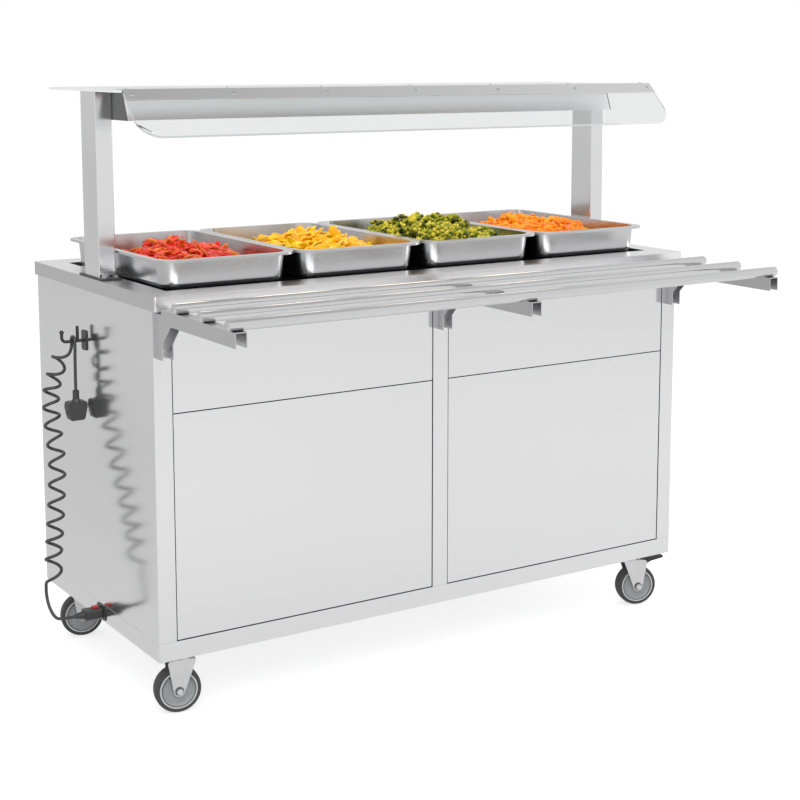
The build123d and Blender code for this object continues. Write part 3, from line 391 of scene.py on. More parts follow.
# %% Steels
level, lengthwise = (5, 5, 700), (5, 700, 700)
sheet_steel = steel("sheet_steel", 0.75, 0.69, 0.13, 0.19, level)
gantry_steel = steel("gantry_steel", 0.95, 0.92, 0.3, 0.38, level)
# The top's faces over its two ends take painted shade, a darker colour.
top_steel = steel("top_steel", 0.86, 0.83, 0.26, 0.31, lengthwise, 0.05, Ends=0.66)
bracket_steel = steel("bracket_steel", 0.58, 0.5, 0.25, 0.35, lengthwise, 0.12)
tube_steel = steel("tube_steel", 0.65, 0.56, 0.08, 0.15, (2, 300, 300), 0.1)
pan_steel = steel("pan_steel", 0.64, 0.52, 0.16, 0.28, (90, 90, 240))
lamp_steel = steel("lamp_steel", 0.85, 0.78, 0.05, 0.12, lengthwise, 0.1)
print("steels:", len(bpy.data.materials))

# %% [markdown]
# Everything else that is not clear takes the second group: zinc plate on the casters, rubber and plastic on the
# lead, the wheels and the controls, and the black plate under the pans, whose smooth face needs no bump at all.
# Blacks are never quite black, because real rubber and plastic always give some light back.

# %% Plated, moulded and rubber finishes
zinc = moulded("zinc_plate", grey(0.72), grey(0.55), 0.3, 0.45, 260, 0.15, Metallic=1)
# A dark grey for the gantry's end caps and the scale strokes, and painted shade in the screw crosses and round the
# axle bolt heads.
dark_steel_and_shade = moulded("dark_steel_and_shade", grey(0.16), grey(0.11), 0.35, 0.5, 900)
black_plate = moulded("black_glass_plate", grey(0.012), grey(0.008), 0.03, 0.07, 30, 0, Specular_IOR_Level=0.4)
rubber = moulded("cable_rubber", grey(0.06), grey(0.042), 0.32, 0.46, 1500, 0.3)
plastic = moulded("black_plastic", grey(0.035), grey(0.02), 0.32, 0.45, 1800, 0.25)
tyre = moulded("tyre_rubber", grey(0.075), grey(0.05), 0.55, 0.75, 700, 0.4)
hub_plastic = moulded("hub_plastic", (0.47, 0.5, 0.52), (0.39, 0.42, 0.44), 0.35, 0.5, 900)
ring_plastic = moulded("tyre_ring", grey(0.8), grey(0.68), 0.35, 0.5, 900, 0.1)
red_plastic = moulded("red_plastic", (0.62, 0.03, 0.02), (0.45, 0.02, 0.015), 0.3, 0.42, 1500)
green_plastic = moulded("green_rocker", (0.03, 0.36, 0.09), (0.02, 0.26, 0.06), 0.18, 0.28, 900, 0.1,
                        Coat_Weight=0.4)
brass = moulded("brass_pin", (0.78, 0.58, 0.26), (0.66, 0.46, 0.2), 0.18, 0.32, 600, 0.1, Metallic=1)
heater_mat = moulded("heater_mat", (0.3, 0.2, 0.13), (0.2, 0.13, 0.09), 0.6, 0.8, 500, 0.4)
white_print = moulded("white_print", grey(0.8), grey(0.7), 0.5, 0.6, 900, 0.1)
print("finishes:", len(bpy.data.materials))

# %% [markdown]
# Glass is clear, so its colour comes from what is behind it. A faint grey tint and smooth faces are enough, with
# weak smears in the roughness, because a perfect pane looks like a hole. Metallic and transmission stay plain
# numbers.

# %% Glass
pane = moulded("clear_pane", (0.83, 0.85, 0.845), (0.79, 0.815, 0.81), 0.0, 0.02, 25, 0,
               Transmission_Weight=1, IOR=1.12, Coat_Weight=0.6, Coat_Roughness=0.0)
quartz = moulded("quartz_tube", (0.96, 0.94, 0.9), (0.9, 0.86, 0.8), 0.03, 0.1, 60, 0,
                 Transmission_Weight=0.9, IOR=1.45)
print("glass:", pane.name, quartz.name)

# %% [markdown]
# Each solid now takes its finish. One list for each finish shows at a glance what is made of what, and a solid
# that is left out would be named in the printed line.

# %% Dress the solids


def starting(word):
    """The names of all solids that start alike."""
    return [name for name in solids if name.startswith(word)]


dress = {
    sheet_steel: ["base_plinth", "left_side_panel", "right_side_panel", "uprights", "front_panels", "control_panel",
                  "door_left", "door_right", "gantry_posts", "clamp_strip"],
    bracket_steel: ["tray_brackets", "frame_bolts"],
    gantry_steel: ["gantry_housing"],
    top_steel: ["countertop", "cabinet_floor", "door_tracks"],
    tube_steel: ["tray_rails", "rail_end_caps"],
    lamp_steel: ["lamp_reflector"],
    pan_steel: ["pan_1", "pan_2", "pan_3", "pan_4"],
    pane: ["top_glass_shelf", "sneeze_glass"],
    quartz: ["heat_lamps"],
    black_plate: ["glass_hotplate"],
    dark_steel_and_shade: ["gantry_end_caps"],
    heater_mat: ["heating_elements"],
    zinc: ["heater_tray", "caster_plates"] + starting("fork_"),
    tyre: starting("tyre_"),
    hub_plastic: starting("hub_"),
    plastic: ["heat_regulators", "knob_hotplate", "knob_gantry", "switch_frame", "power_inlet", "cord_hook",
              "post_feet"] + starting("pedal_"),
    rubber: ["mains_plug", "cord_connector", "cord_plug_tail", "cord_curl", "cord_inlet_tail"],
    brass: ["plug_pins"],
    red_plastic: ["release_tab"],
    green_plastic: ["power_switch"],
}
for material, names in dress.items():
    for name in names:
        solids[name].data.materials.clear()
        solids[name].data.materials.append(material)
lead.data.materials.append(rubber)
undressed = sorted(set(solids) - {name for names in dress.values() for name in names})
print("undressed solids:", undressed)

# %% [markdown]
# A folded sheet never has a razor edge, so the steel pieces get a small bevel that catches the light. The panes
# lie against the steel that holds them, and where two faces share one place Blender can't tell which is in front,
# so the panes are drawn in by a hair. Both are modifiers, which leave the solids as they are. The solids arrive
# with their corners split, and a weld joins them first.

# %% Edges of the sheets and faces of the panes
weld_reach = 0.00001
edge_width, sharp_from = 0.0006, radians(40)
pane_gap = 0.0003


def weld_corners(solid):
    """Joins the split corners of a solid."""
    weld = solid.modifiers.new("join_corners", "WELD")
    weld.merge_threshold = weld_reach


def soften(solid, width):
    """Rounds the edges of a solid by a small bevel."""
    weld_corners(solid)
    bevel = solid.modifiers.new("folded_edge", "BEVEL")
    bevel.width = width
    bevel.segments = 2
    bevel.limit_method = "ANGLE"
    bevel.angle_limit = sharp_from
    bevel.harden_normals = True


def ease(solid, gap):
    """Draws the faces of a pane in, so that none lies exactly on the face of the piece that holds it."""
    weld_corners(solid)
    hair = solid.modifiers.new("drawn_in", "DISPLACE")
    hair.strength = -gap
    hair.mid_level = 0


eased = ("top_glass_shelf", "sneeze_glass")
softened = ("countertop", "base_plinth", "uprights", "front_panels", "left_side_panel", "right_side_panel",
            "clamp_strip", "tray_brackets", "control_panel")
for name in eased:
    ease(solids[name], pane_gap)
for name in softened:
    soften(solids[name], edge_width)
print("softened sheets:", len(softened), "eased panes:", len(eased))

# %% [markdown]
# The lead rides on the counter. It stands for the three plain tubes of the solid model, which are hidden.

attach(lead, "counter")
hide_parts("cord_plug_tail", "cord_curl", "cord_inlet_tail")
tuple(beside(62, -12, 155))

# %% [markdown]
# Many small pieces are turned: screw heads, rings, ribs. Blender has ready cylinders, but a turned outline gives
# the real profile, so one helper spins any outline of radius and height round an axis. A second helper says where
# that axis stands and which way it points.

# %% Turned outlines


def spin(shape, place, outline, steps=24):
    """Spins an outline of (radius, height) in millimetres round the Z axis of a placing matrix."""
    rows = []
    for radius, height in outline:
        count = steps if radius > 0 else 1
        turns = [2 * pi * k / steps for k in range(count)]
        rows.append([shape.verts.new(place @ Vector((radius * cos(a), radius * sin(a), height))) for a in turns])
    faces = []
    for low, high in zip(rows, rows[1:]):
        for k in range(steps):
            corners = [low[k % len(low)], low[(k + 1) % len(low)], high[(k + 1) % len(high)], high[k % len(high)]]
            corners = list(dict.fromkeys(corners))
            if len(corners) > 2:
                faces.append(shape.faces.new(corners))
    return faces


def seat(where, out):
    """A placing matrix in millimetres with its Z axis along a direction."""
    turned = Vector(out).to_track_quat("Z", "Y").to_matrix().to_4x4()
    return Matrix.Translation(where) @ turned @ Matrix.Scale(0.001, 4)


print("an axis to the right:", [round(v, 3) for v in seat(top_middle, (1, 0, 0)).col[2]])

# %% [markdown]
# Strokes, bars and holders are small blocks. A block and a turned outline only add faces to a mesh that is still
# under construction. The last helper turns such a mesh into a piece: it gives it its finishes, puts it into the
# scene, and lets it ride on a body, so that it moves when a joint does.

# %% Blocks, and pieces that ride on a body


def block(shape, place, sizes):
    """A box of three sizes about the origin of a placing matrix."""
    return bmesh.ops.create_cube(shape, size=1, matrix=place @ Matrix.Diagonal((*sizes, 1)))["verts"]


def piece(name, shape, materials, body, smooth=True):
    """Makes an object of a mesh, finished or under construction, and lets it ride on a body."""
    mesh = shape
    if isinstance(shape, bmesh.types.BMesh):
        mesh = bpy.data.meshes.new(name)
        bmesh.ops.recalc_face_normals(shape, faces=shape.faces)
        shape.to_mesh(mesh)
        shape.free()
    for material in materials:
        mesh.materials.append(material)
    for face in mesh.polygons:
        face.use_smooth = smooth
    made = bpy.data.objects.new(name, mesh)
    bpy.context.collection.objects.link(made)
    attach(made, body)
    return made


# %% [markdown]
# The end fascias of the counter top are held by two small screws each. Each is a low dome with a cross in it. The
# cross is two thin bars let into the dome, painted dark as the shade inside a recess, which at this size reads as a
# real recess.

# %% Screws in the end fascias
dome = [(0, 0.8), (1.4, 0.72), (2.6, 0.45), (3.2, 0.15), (3.3, -0.5)]
cross_bar, cross_up = (3.2, 0.7, 0.6), 0.5
fascia_out, screw_height = 700, 880
screw_backs, both_sides = (2, -265), (-1, 1)
screw_seats = [seat(at(side * fascia_out, back, screw_height), (side, 0, 0))
               for side in both_sides for back in screw_backs]
shape = bmesh.new()
for screw in screw_seats:
    spin(shape, screw, dome)
screws = piece("fascia_screws", shape, [zinc], "counter")
# Painted shade: the cross is dark bars that stand for the shade in the screw's recess.
shape = bmesh.new()
for screw in screw_seats:
    for turn in (0, pi / 2):
        place = screw @ Matrix.Translation((0, 0, cross_up)) @ Matrix.Rotation(turn + pi / 4, 4, "Z")
        block(shape, place, cross_bar)
piece("fascia_screw_cross_shade", shape, [dark_steel_and_shade], "counter", smooth=False)
print("fascia screws:", len(screws.data.polygons), "faces")

# %% [markdown]
# A soft tyre is cast round a hard centre, and the joint shows as a thin pale ring on both faces of the wheel, with
# a dark groove inside it. Both are turned bands, and a third marks the step in the hub. They ride on the wheel, so
# they roll with it. The wheel's place comes from the tyre's own box, and its axle from the way its caster trails.

# %% Rings on the wheels
trails = {"front_left": 169, "front_right": -19, "rear_left": 167, "rear_right": 8}
band = [(37.4, -1.2), (37.4, 0.2), (38.0, 0.6), (40.0, 0.6), (40.8, 0.2), (40.8, -1.2)]
groove = [(35.9, -0.9), (35.9, 0.1), (37.4, 0.1), (37.4, -0.9)]
inner_band = [(17.0, -0.5), (17.3, 0.5), (18.4, 0.5), (18.7, -0.5)]
tyre_face, hub_face = 0.0155, 0.008
ring_finishes = [ring_plastic, hub_plastic, tyre]
wheel_rings = ((band, tyre_face, 64, ring_plastic), (groove, tyre_face, 64, tyre),
               (inner_band, hub_face, 48, hub_plastic))


def on_axle(corner, side, out):
    """A placing matrix on one side of a wheel, some way out along its axle."""
    trail = radians(trails[corner])
    axle = Vector((-sin(trail), cos(trail), 0))
    return seat(middle_of("tyre_" + corner) + axle * side * out, axle * side)


for corner in trails:
    shape = bmesh.new()
    for side in both_sides:
        for outline, out, steps, material in wheel_rings:
            for face in spin(shape, on_axle(corner, side, out), outline, steps):
                face.material_index = ring_finishes.index(material)
    piece("tyre_ring_" + corner, shape, ring_finishes, "wheel_" + corner)
print("wheel rings:", len(trails))

# %% [markdown]
# Each axle is a bolt through the fork, with a washer under its head. The bolt belongs to the fork's solid. The
# washers are turned rings, a little wider than the head, and their dark colour is painted shade round the head. They
# ride on the caster and not on the wheel, because a bolt stands still while the wheel rolls.

# %% Washers of the axle bolts
washer = [(6.0, -0.2), (6.0, 0.8), (9.2, 0.8), (9.8, 0.4), (9.8, -0.2)]
fork_face = 0.0215
# Painted shade: the washers' dark finish stands for the shade round each bolt head.
for corner in trails:
    shape = bmesh.new()
    for side in both_sides:
        spin(shape, on_axle(corner, side, fork_face), washer, 32)
    washers_and_shade = piece("axle_washers_and_shade_" + corner, shape, [dark_steel_and_shade], "caster_" + corner)
print("axle washers:", len(washers_and_shade.data.polygons), "faces on each caster")

# %% [markdown]
# Where the cable leaves the plug and the connector, a ribbed boot keeps it from kinking. The boots themselves are
# solids. Their ribs are rings that stand a little proud.

# %% Ribs on the boots
rib = [(-0.6, -1.0), (0.2, -0.8), (0.5, 0), (0.2, 0.8), (-0.6, 1.0)]
rib_pitch, rib_steps = 4, 32
plug_radius = 7.0
connector_radius, connector_taper = 8.5, 0.86


def ring_of(radius):
    """The rib's outline round a boot of one radius."""
    return [(radius + out, up) for out, up in rib]


shape = bmesh.new()
for k in range(5):
    spin(shape, seat(beside(27, 37.5, 629 + rib_pitch * k), (0, 0, 1)), ring_of(plug_radius), rib_steps)
ribs = piece("plug_boot_ribs", shape, [rubber], "counter")
shape = bmesh.new()
for k in range(4):
    outline = ring_of(connector_radius - connector_taper * k)
    spin(shape, seat(beside(46 + rib_pitch * k, -12, 155), (1, 0, 0)), outline, rib_steps)
piece("connector_boot_ribs", shape, [rubber], "counter")
print("boot ribs:", len(ribs.data.polygons), "faces")

# %% [markdown]
# Over each pan a heat lamp hangs under the bright trough: a quartz tube with a wound filament, held at both ends in
# white ceramic. The solid model has plain rods and blocks there. These pieces take their places from the box of
# that solid and stand for it, with the filament and the rounded holders that a real lamp shows.

# %% Heat lamps
ceramic = moulded("white_ceramic", grey(0.78), grey(0.7), 0.3, 0.45, 700)
tungsten = moulded("wound_filament", (0.3, 0.27, 0.25), (0.2, 0.18, 0.17), 0.3, 0.5, 900, Metallic=1)
lamps_low, lamps_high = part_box("heat_lamps")
lamp_y, lamp_z = middle_of("heat_lamps").y, lamps_low.z + 0.007
holder_tall = (lamps_high.z - lamps_low.z) * 1000
holder_wide, holder_deep, holder_round = 0.012, 0.014, 0.0012
holder_out = 0.12615
lamp_finishes = [quartz, ceramic, tungsten]
tube = [(0, -127), (3, -127), (3, -121), (5.5, -117), (5.5, 117), (3, 121), (3, 127), (0, 127)]
filament = [(1.2 + 0.5 * (k % 2), -112 + 1.6 * k) for k in range(141)]
shape = bmesh.new()
for k in range(4):
    place = Vector((middle_of(f"pan_{k + 1}").x, lamp_y, lamp_z))
    spin(shape, seat(place, (1, 0, 0)), tube, 20)
    for face in spin(shape, seat(place, (1, 0, 0)), filament, 8):
        face.material_index = lamp_finishes.index(tungsten)
    for side in both_sides:
        middle = place + Vector((side * holder_out, 0, (holder_tall - 14) / 2000))
        corners = block(shape, Matrix.Translation(middle), (holder_wide, holder_deep, holder_tall / 1000))
        edges = list(dict.fromkeys(edge for vertex in corners for edge in vertex.link_edges))
        rounded = bmesh.ops.bevel(shape, geom=edges, offset=holder_round, segments=2, affect="EDGES")
        for vertex in rounded["verts"]:
            for face in vertex.link_faces:
                face.material_index = lamp_finishes.index(ceramic)
heat_lamps = piece("heat_lamp_tubes", shape, lamp_finishes, "counter")
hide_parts("heat_lamps")
print("heat lamps:", len(heat_lamps.data.polygons), "faces")

# %% [markdown]
# On the operator's side the two heat controls need marks to be read by: a scale of short strokes on the panel and
# a white line on each knob's skirt. The strokes could be a picture laid on the panel, but thin bars a quarter of a
# millimetre proud stay sharp from any distance, like screen print seen very close.

# %% Scales of the heat controls
rear_face = at(0, 329.0, 0).y
strokes, first_stroke, stroke_step, stroke_start = 11, -135, 27, 23
line_bar, line_start, skirt_out = (1.6, 3.4, 0.4), 18, 0.0046


def on_rear(name):
    """The middle of a solid, brought to the face of the control panel."""
    middle = middle_of(name)
    return Vector((middle.x, rear_face, middle.z))


shape = bmesh.new()
for name in ("knob_hotplate", "knob_gantry"):
    hub = on_rear(name)
    for k in range(strokes):
        long = 6.0 if k % 5 == 0 else 4.0
        place = seat(hub, (0, 1, 0)) @ Matrix.Rotation(radians(first_stroke + stroke_step * k), 4, "Z")
        block(shape, place @ Matrix.Translation((0, stroke_start + long / 2, 0)), (1.2, long, 0.5))
    line = bmesh.new()
    place = seat(hub + Vector((0, skirt_out, 0)), (0, 1, 0)) @ Matrix.Translation((0, line_start, 0))
    block(line, place, line_bar)
    piece(name + "_line", line, [white_print], name, smooth=False)
scales = piece("control_scales", shape, [dark_steel_and_shade], "counter", smooth=False)
print("scale strokes:", len(scales.data.polygons) // 6)

# %% [markdown]
# The rocker of the main switch has a stroke for on and a ring for off, one on each half of its hollow face. The
# marks lie on that slope, turned with the rocker at rest, and they ride on it when it tips.

# %% Marks on the rocker
rocker_tilt = Matrix.Rotation(radians(7), 4, "X")
half_slope, mark_out, mark_up = 0.354, 0.0037, 0.0062
on_bar = (1.0, 4.0, 0.4)
off_ring = [(1.5, -0.2), (1.5, 0.2), (2.4, 0.2), (2.4, -0.2)]
pivot = on_rear("switch_frame")
shape = bmesh.new()
for side in both_sides:
    where = pivot + rocker_tilt @ Vector((0, mark_out, side * mark_up))
    place = seat(where, rocker_tilt @ Vector((0, 1, -half_slope * side)))
    if side > 0:
        block(shape, place, on_bar)
    else:
        spin(shape, place, off_ring, 24)
marks = piece("rocker_marks", shape, [white_print], "power_switch", smooth=False)
print("rocker marks:", len(marks.data.polygons), "faces")

# %% [markdown]
# The pans are shown as they are in use, with strips of red pepper, pieces of yellow pepper, broccoli and carrot. A
# pepper has a glossy skin and paler flesh, so its strips carry two tones, one on each side. Food lets a little
# light through, which the subsurface weight gives.

# %% Food finishes


def food_tones(name, colours, smooth, rough, scale, bump):
    """Finishes of one food, one for each of its colours."""
    return [moulded(f"{name}_{k}", colour, tuple(0.8 * v for v in colour), smooth, rough, scale, bump, depth=0.0006,
                    Subsurface_Weight=0.1, Subsurface_Scale=0.004, Specular_IOR_Level=0.3)
            for k, colour in enumerate(colours)]


red_pepper = food_tones(
    "red_pepper", [(0.7, 0.012, 0.004), (0.86, 0.06, 0.008), (1.0, 0.38, 0.07)], 0.15, 0.3, 220, 0.25)
yellow_pepper = food_tones(
    "yellow_pepper", [(1.0, 0.52, 0.003), (1.0, 0.64, 0.01), (1.0, 0.8, 0.22)], 0.15, 0.3, 220, 0.25)
broccoli = food_tones(
    "broccoli", [(0.07, 0.1, 0.01), (0.36, 0.38, 0.02), (0.74, 0.66, 0.06)], 0.45, 0.65, 900, 0.8)
carrot = food_tones(
    "carrot", [(1.0, 0.32, 0.003), (1.0, 0.42, 0.01), (0.98, 0.25, 0.003)], 0.25, 0.42, 320, 0.3)
print("foods: 4, tones:", len(red_pepper + yellow_pepper + broccoli + carrot))

# %% [markdown]
# A strip of pepper or a stick of carrot is a row of flat rings along an arc, closed at both ends. Thousands of
# small operations on one growing mesh would be slow, so each form only adds its points, faces and tones to plain
# lists, and Blender makes the mesh from them in one step.

# %% A bent strip


def boxy(value, power):
    """A sine or cosine pushed towards its ends, which squares a round section."""
    return abs(value) ** power * (1 if value > 0 else -1)


def bent_strip(length, width, thick, bend, cup, square, skin_tone, flesh_tone, sides=10, rings=8):
    """A strip along an arc, sizes in millimetres: cup hollows it across, square below 1 makes its section boxy."""
    points, faces, tints = [], [], []
    radius = length / bend
    for r in range(rings):
        t = r / (rings - 1)
        angle = (t - 0.5) * bend
        full = 0.62 + 0.38 * (1 - abs(2 * t - 1) ** 4) ** 0.5
        for k in range(sides):
            a = 2 * pi * k / sides
            wide = boxy(cos(a), square) * width / 2 * full
            lift = boxy(sin(a), square) * thick / 2 * full - cup * wide ** 2 / width
            points.append(Vector((sin(angle) * (radius + lift), wide, cos(angle) * (radius + lift) - radius)))
    for r in range(rings - 1):
        for k in range(sides):
            n = (k + 1) % sides
            faces.append((r * sides + k, r * sides + n, (r + 1) * sides + n, (r + 1) * sides + k))
            tints.append(skin_tone if k < sides / 2 else flesh_tone)
    faces += [tuple(range(sides))[::-1], tuple(range((rings - 1) * sides, rings * sides))]
    return points, faces, tints + [flesh_tone, flesh_tone]


sample = bent_strip(50, 15, 5, 1.5, 0.2, 0.8, 0, 1)
print("one strip:", len(sample[0]), "points,", len(sample[1]), "faces")

# %% [markdown]
# A floret of broccoli is a thick pale stalk that parts into four lobes, each a dome of small buds. One rough ball
# with a noise on it would look like moss. Here the buds are little balls set round each dome on a golden spiral.
# The lower buds take the dark tone as painted shade, and the upper ones a paler tone, partly as ripe as the floret
# happens to be and partly painted highlight.

# %% A floret
stalk, stalk_sides = ((0.3, -1.2), (0.24, -0.7), (0.3, -0.2), (0.55, 0.15)), 8
lobes, buds, golden_turn = 4, 13, 2.4
ball = bmesh.new()
bmesh.ops.create_icosphere(ball, subdivisions=1, radius=1)
ball_points = [vertex.co.copy() for vertex in ball.verts]
ball_faces = [tuple(vertex.index for vertex in face.verts) for face in ball.faces]
ball.free()


def floret(size, chance):
    """A broccoli floret: a thick stalk that parts into lobes, each a cluster of small buds."""
    points, faces, tints = [], [], []
    around = range(stalk_sides)
    for r, (radius, up) in enumerate(stalk):
        points += [Vector((radius * cos(pi * k / 4), radius * sin(pi * k / 4), up)) * size for k in around]
        if r:
            low, high = stalk_sides * (r - 1), stalk_sides * r
            faces += [(low + k, low + (k + 1) % stalk_sides, high + (k + 1) % stalk_sides, high + k) for k in around]
            tints += [2] * stalk_sides
    faces.append(tuple(around)[::-1])
    tints.append(2)
    ripe_and_lit_tone = chance.choice((1, 2, 2))
    for lobe in range(lobes):
        turn = lobe * pi / 2 + chance.uniform(-0.4, 0.4)
        heart = Vector((0.5 * cos(turn), 0.5 * sin(turn), chance.uniform(0.2, 0.45)))
        for k in range(buds):
            rise, way = (k + 0.5) / buds, k * golden_turn
            reach = sqrt(1 - (0.1 + 0.9 * rise) ** 2)
            bud = heart + Vector((reach * cos(way), reach * sin(way), 0.1 + 0.9 * rise)) * 0.5
            grown = chance.uniform(0.13, 0.22)
            first = len(points)
            points += [(bud + corner * grown) * size for corner in ball_points]
            faces += [tuple(first + v for v in face) for face in ball_faces]
            # Painted light: upper buds take the paler tones as highlight, lower buds the dark tone as shade.
            tint = chance.choice((ripe_and_lit_tone, ripe_and_lit_tone, 1)) if rise > 0.5 else chance.choice((0, 0, 1))
            tints += [tint] * len(ball_faces)
    return points, faces, tints


sample = floret(20, random.Random(1))
print("one floret:", len(sample[0]), "points,", len(sample[1]), "faces")

# %% [markdown]
# No two pieces from a knife are alike. Each food gets a maker that draws its sizes, bend and tones by chance within
# what a cook would cut. The chance is handed in with its own seed, so every run cuts the same pieces.

# %% Pieces of each food


def pepper_strip(chance):
    """A long thin strip."""
    cut, tint = chance.uniform, chance.choice
    return bent_strip(cut(34, 66), cut(11, 19), cut(4, 6), cut(0.7, 2.6), cut(0, 0.5), 0.8,
                      tint((0, 0, 1)), tint((1, 2, 2)))


def pepper_piece(chance):
    """A shorter, broader piece."""
    cut, tint = chance.uniform, chance.choice
    return bent_strip(cut(30, 56), cut(14, 24), cut(4, 6.5), cut(0.6, 2.2), cut(0, 0.6), 0.8,
                      tint((0, 0, 1)), tint((1, 1, 2)))


def carrot_stick(chance):
    """A short, nearly straight stick with a square section and one tone."""
    tone, cut = chance.choice((0, 0, 1, 2)), chance.uniform
    return bent_strip(cut(24, 44), cut(9, 14), cut(8, 12), cut(0.05, 0.3), 0, 0.6, tone, tone)


def broccoli_floret(chance):
    """A floret between 20 and 34 mm."""
    return floret(chance.uniform(20, 34), chance)


makers = (pepper_strip, pepper_piece, broccoli_floret, carrot_stick)
print("makers:", [make.__name__ for make in makers])

# %% [markdown]
# A heap of food could come from a simulation of falling pieces, but that takes long and lands differently each
# time. Here a low mound gives the height at every place in the pan, highest a little in front of the middle and
# down to the pan's floor before its far wall. It is laid in rings round its top, because a square grid would show
# steps along its edge, and a skirt closes it down to the floor.

# %% The mound in a pan
half_x, half_y = 128.0, 230.0
mound_shift, mound_reach = (0.1, 0.2), (1.08, 0.96)
mound_rings, mound_spokes = 14, 48
mound_floor, under_food = -62, 9


def mound_height(u, v, peak, seed):
    """Height in millimetres from the pan's rim, at shares u and v of half the pan's width and length."""
    away = ((u + mound_shift[0]) / mound_reach[0]) ** 2 + ((v + mound_shift[1]) / mound_reach[1]) ** 2
    ripple = sin(5.1 * u + seed) * cos(6.3 * v + 2 * seed)
    return (peak + 60) * max(0, 1 - away) ** 0.55 * (0.86 + 0.14 * ripple) - 60


def room_towards(way, shift):
    """How far the mound may go in one direction before it meets the pan's wall."""
    return (1 - shift if way < 0 else 1 + shift) / max(abs(way), 0.01)


def mound(spot, peak, seed):
    """Points and faces of the mound, from its top ring out to its foot and down to the floor."""
    points, faces = [], []
    for r in range(1, mound_rings + 2):
        for k in range(mound_spokes):
            angle = 2 * pi * k / mound_spokes
            u, v = mound_reach[0] * cos(angle), mound_reach[1] * sin(angle)
            room = min(1, room_towards(u, mound_shift[0]), room_towards(v, mound_shift[1]))
            share = room * min(r / mound_rings, 1)
            u, v = u * share - mound_shift[0], v * share - mound_shift[1]
            up = max(mound_height(u, v, peak, seed) - under_food, mound_floor)
            points.append(spot(u, v, up if r <= mound_rings else mound_floor))
    for r in range(mound_rings):
        for k in range(mound_spokes):
            corner, after = r * mound_spokes + k, r * mound_spokes + (k + 1) % mound_spokes
            faces.append((corner, after, after + mound_spokes, corner + mound_spokes))
    faces.append(tuple(range(mound_spokes)))
    return points, faces


print("mound:", mound_rings, "rings of", mound_spokes, "points")

# %% [markdown]
# Each piece lies on the mound with its own seeded turn and tilt. The pan's walls lean in and its corners are round,
# so a piece that would poke through them is thrown away and the next one is tried, until the heap has its count.

# %% Heaps in the pans
corner_x, corner_y, corner_round = 104, 206, 36
wall_lean, foot_depth, foot_lean, floor_depth = 0.09, 50, 0.9, 63
laid_within, bare_below = 0.96, -52
tilt_along, tilt_across = 26, 32


def heap(name, pan, materials, count, peak, make, seed):
    """A heap in a pan: the mound that carries it, then the pieces laid over the mound."""
    chance = random.Random(seed)
    middle, rim = middle_of(pan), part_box(pan)[1].z

    def spot(u, v, up):
        return Vector((middle.x + u * half_x / 1000, middle.y + v * half_y / 1000, rim + up / 1000))

    def fits(point):
        across, along = abs(point.x - middle.x) * 1000, abs(point.y - middle.y) * 1000
        deep = (rim - point.z) * 1000
        room = corner_round - wall_lean * deep - foot_lean * max(0, deep - foot_depth)
        return deep < floor_depth and hypot(max(0, across - corner_x), max(0, along - corner_y)) < room

    points, faces = mound(spot, peak, seed)
    tints = [0] * len(faces)
    laid = 0
    while laid < count:
        u, v = chance.uniform(-laid_within, laid_within), chance.uniform(-laid_within, laid_within)
        up = mound_height(u, v, peak, seed)
        if up < bare_below:
            continue
        place = Matrix.Translation(spot(u, v, up + chance.uniform(-4, 4)))
        place = place @ Matrix.Rotation(chance.uniform(0, 2 * pi), 4, "Z")
        place = place @ Matrix.Rotation(radians(chance.gauss(0, tilt_along)), 4, "Y")
        place = place @ Matrix.Rotation(radians(chance.gauss(0, tilt_across)), 4, "X") @ Matrix.Scale(0.001, 4)
        some_points, some_faces, some_tints = make(chance)
        some_points = [place @ point for point in some_points]
        if not all(fits(point) for point in some_points):
            continue
        first = len(points)
        points += some_points
        faces += [tuple(first + v for v in face) for face in some_faces]
        tints += some_tints
        laid += 1
    mesh = bpy.data.meshes.new(name)
    mesh.from_pydata(points, [], faces)
    mesh.polygons.foreach_set("material_index", tints)
    return piece(name, mesh, materials, pan)


heaps = [heap("red_pepper_heap", "pan_1", red_pepper, 350, 11, pepper_strip, 3),
         heap("yellow_pepper_heap", "pan_2", yellow_pepper, 300, 14, pepper_piece, 5),
         heap("broccoli_heap", "pan_3", broccoli, 75, 8, broccoli_floret, 7),
         heap("carrot_heap", "pan_4", carrot, 440, 12, carrot_stick, 9)]
print("heaps:", {made.name: len(made.data.polygons) for made in heaps})

# %% [markdown]
# Steel shows its surroundings more than itself, so the world matters as much as the finish. A picture of a studio
# could be wrapped round the scene, but a few nodes are enough. The background is white for the camera and through
# glass. Reflections see it white at the front, a little greyer at the back left, as in a studio with one open side,
# and greyer overhead, which draws the dark line along the top of each tube. All other light is plain and even.

# %% World
toward_back_left = (-0.54, 0.84, 0)
even_light = 0.62
level_mean, level_fade = 0.87, -0.13
overhead_from, overhead_fade, overhead_blend = 2.44, -2.0, 0.2
world = bpy.data.worlds.new("studio")
bpy.context.scene.world = world
world.use_nodes = True
sky = world.node_tree
sky.nodes.clear()


def backdrop(strength):
    """A white background shader of this world."""
    node = sky.nodes.new("ShaderNodeBackground")
    node.inputs["Color"].default_value = (1, 1, 1, 1)
    node.inputs["Strength"].default_value = strength
    return node


def choose(share, first, second):
    """One shader or the other, by a mask."""
    node = sky.nodes.new("ShaderNodeMixShader")
    sky.links.new(share, node.inputs["Fac"])
    sky.links.new(first.outputs[0], node.inputs[1])
    sky.links.new(second.outputs[0], node.inputs[2])
    return node


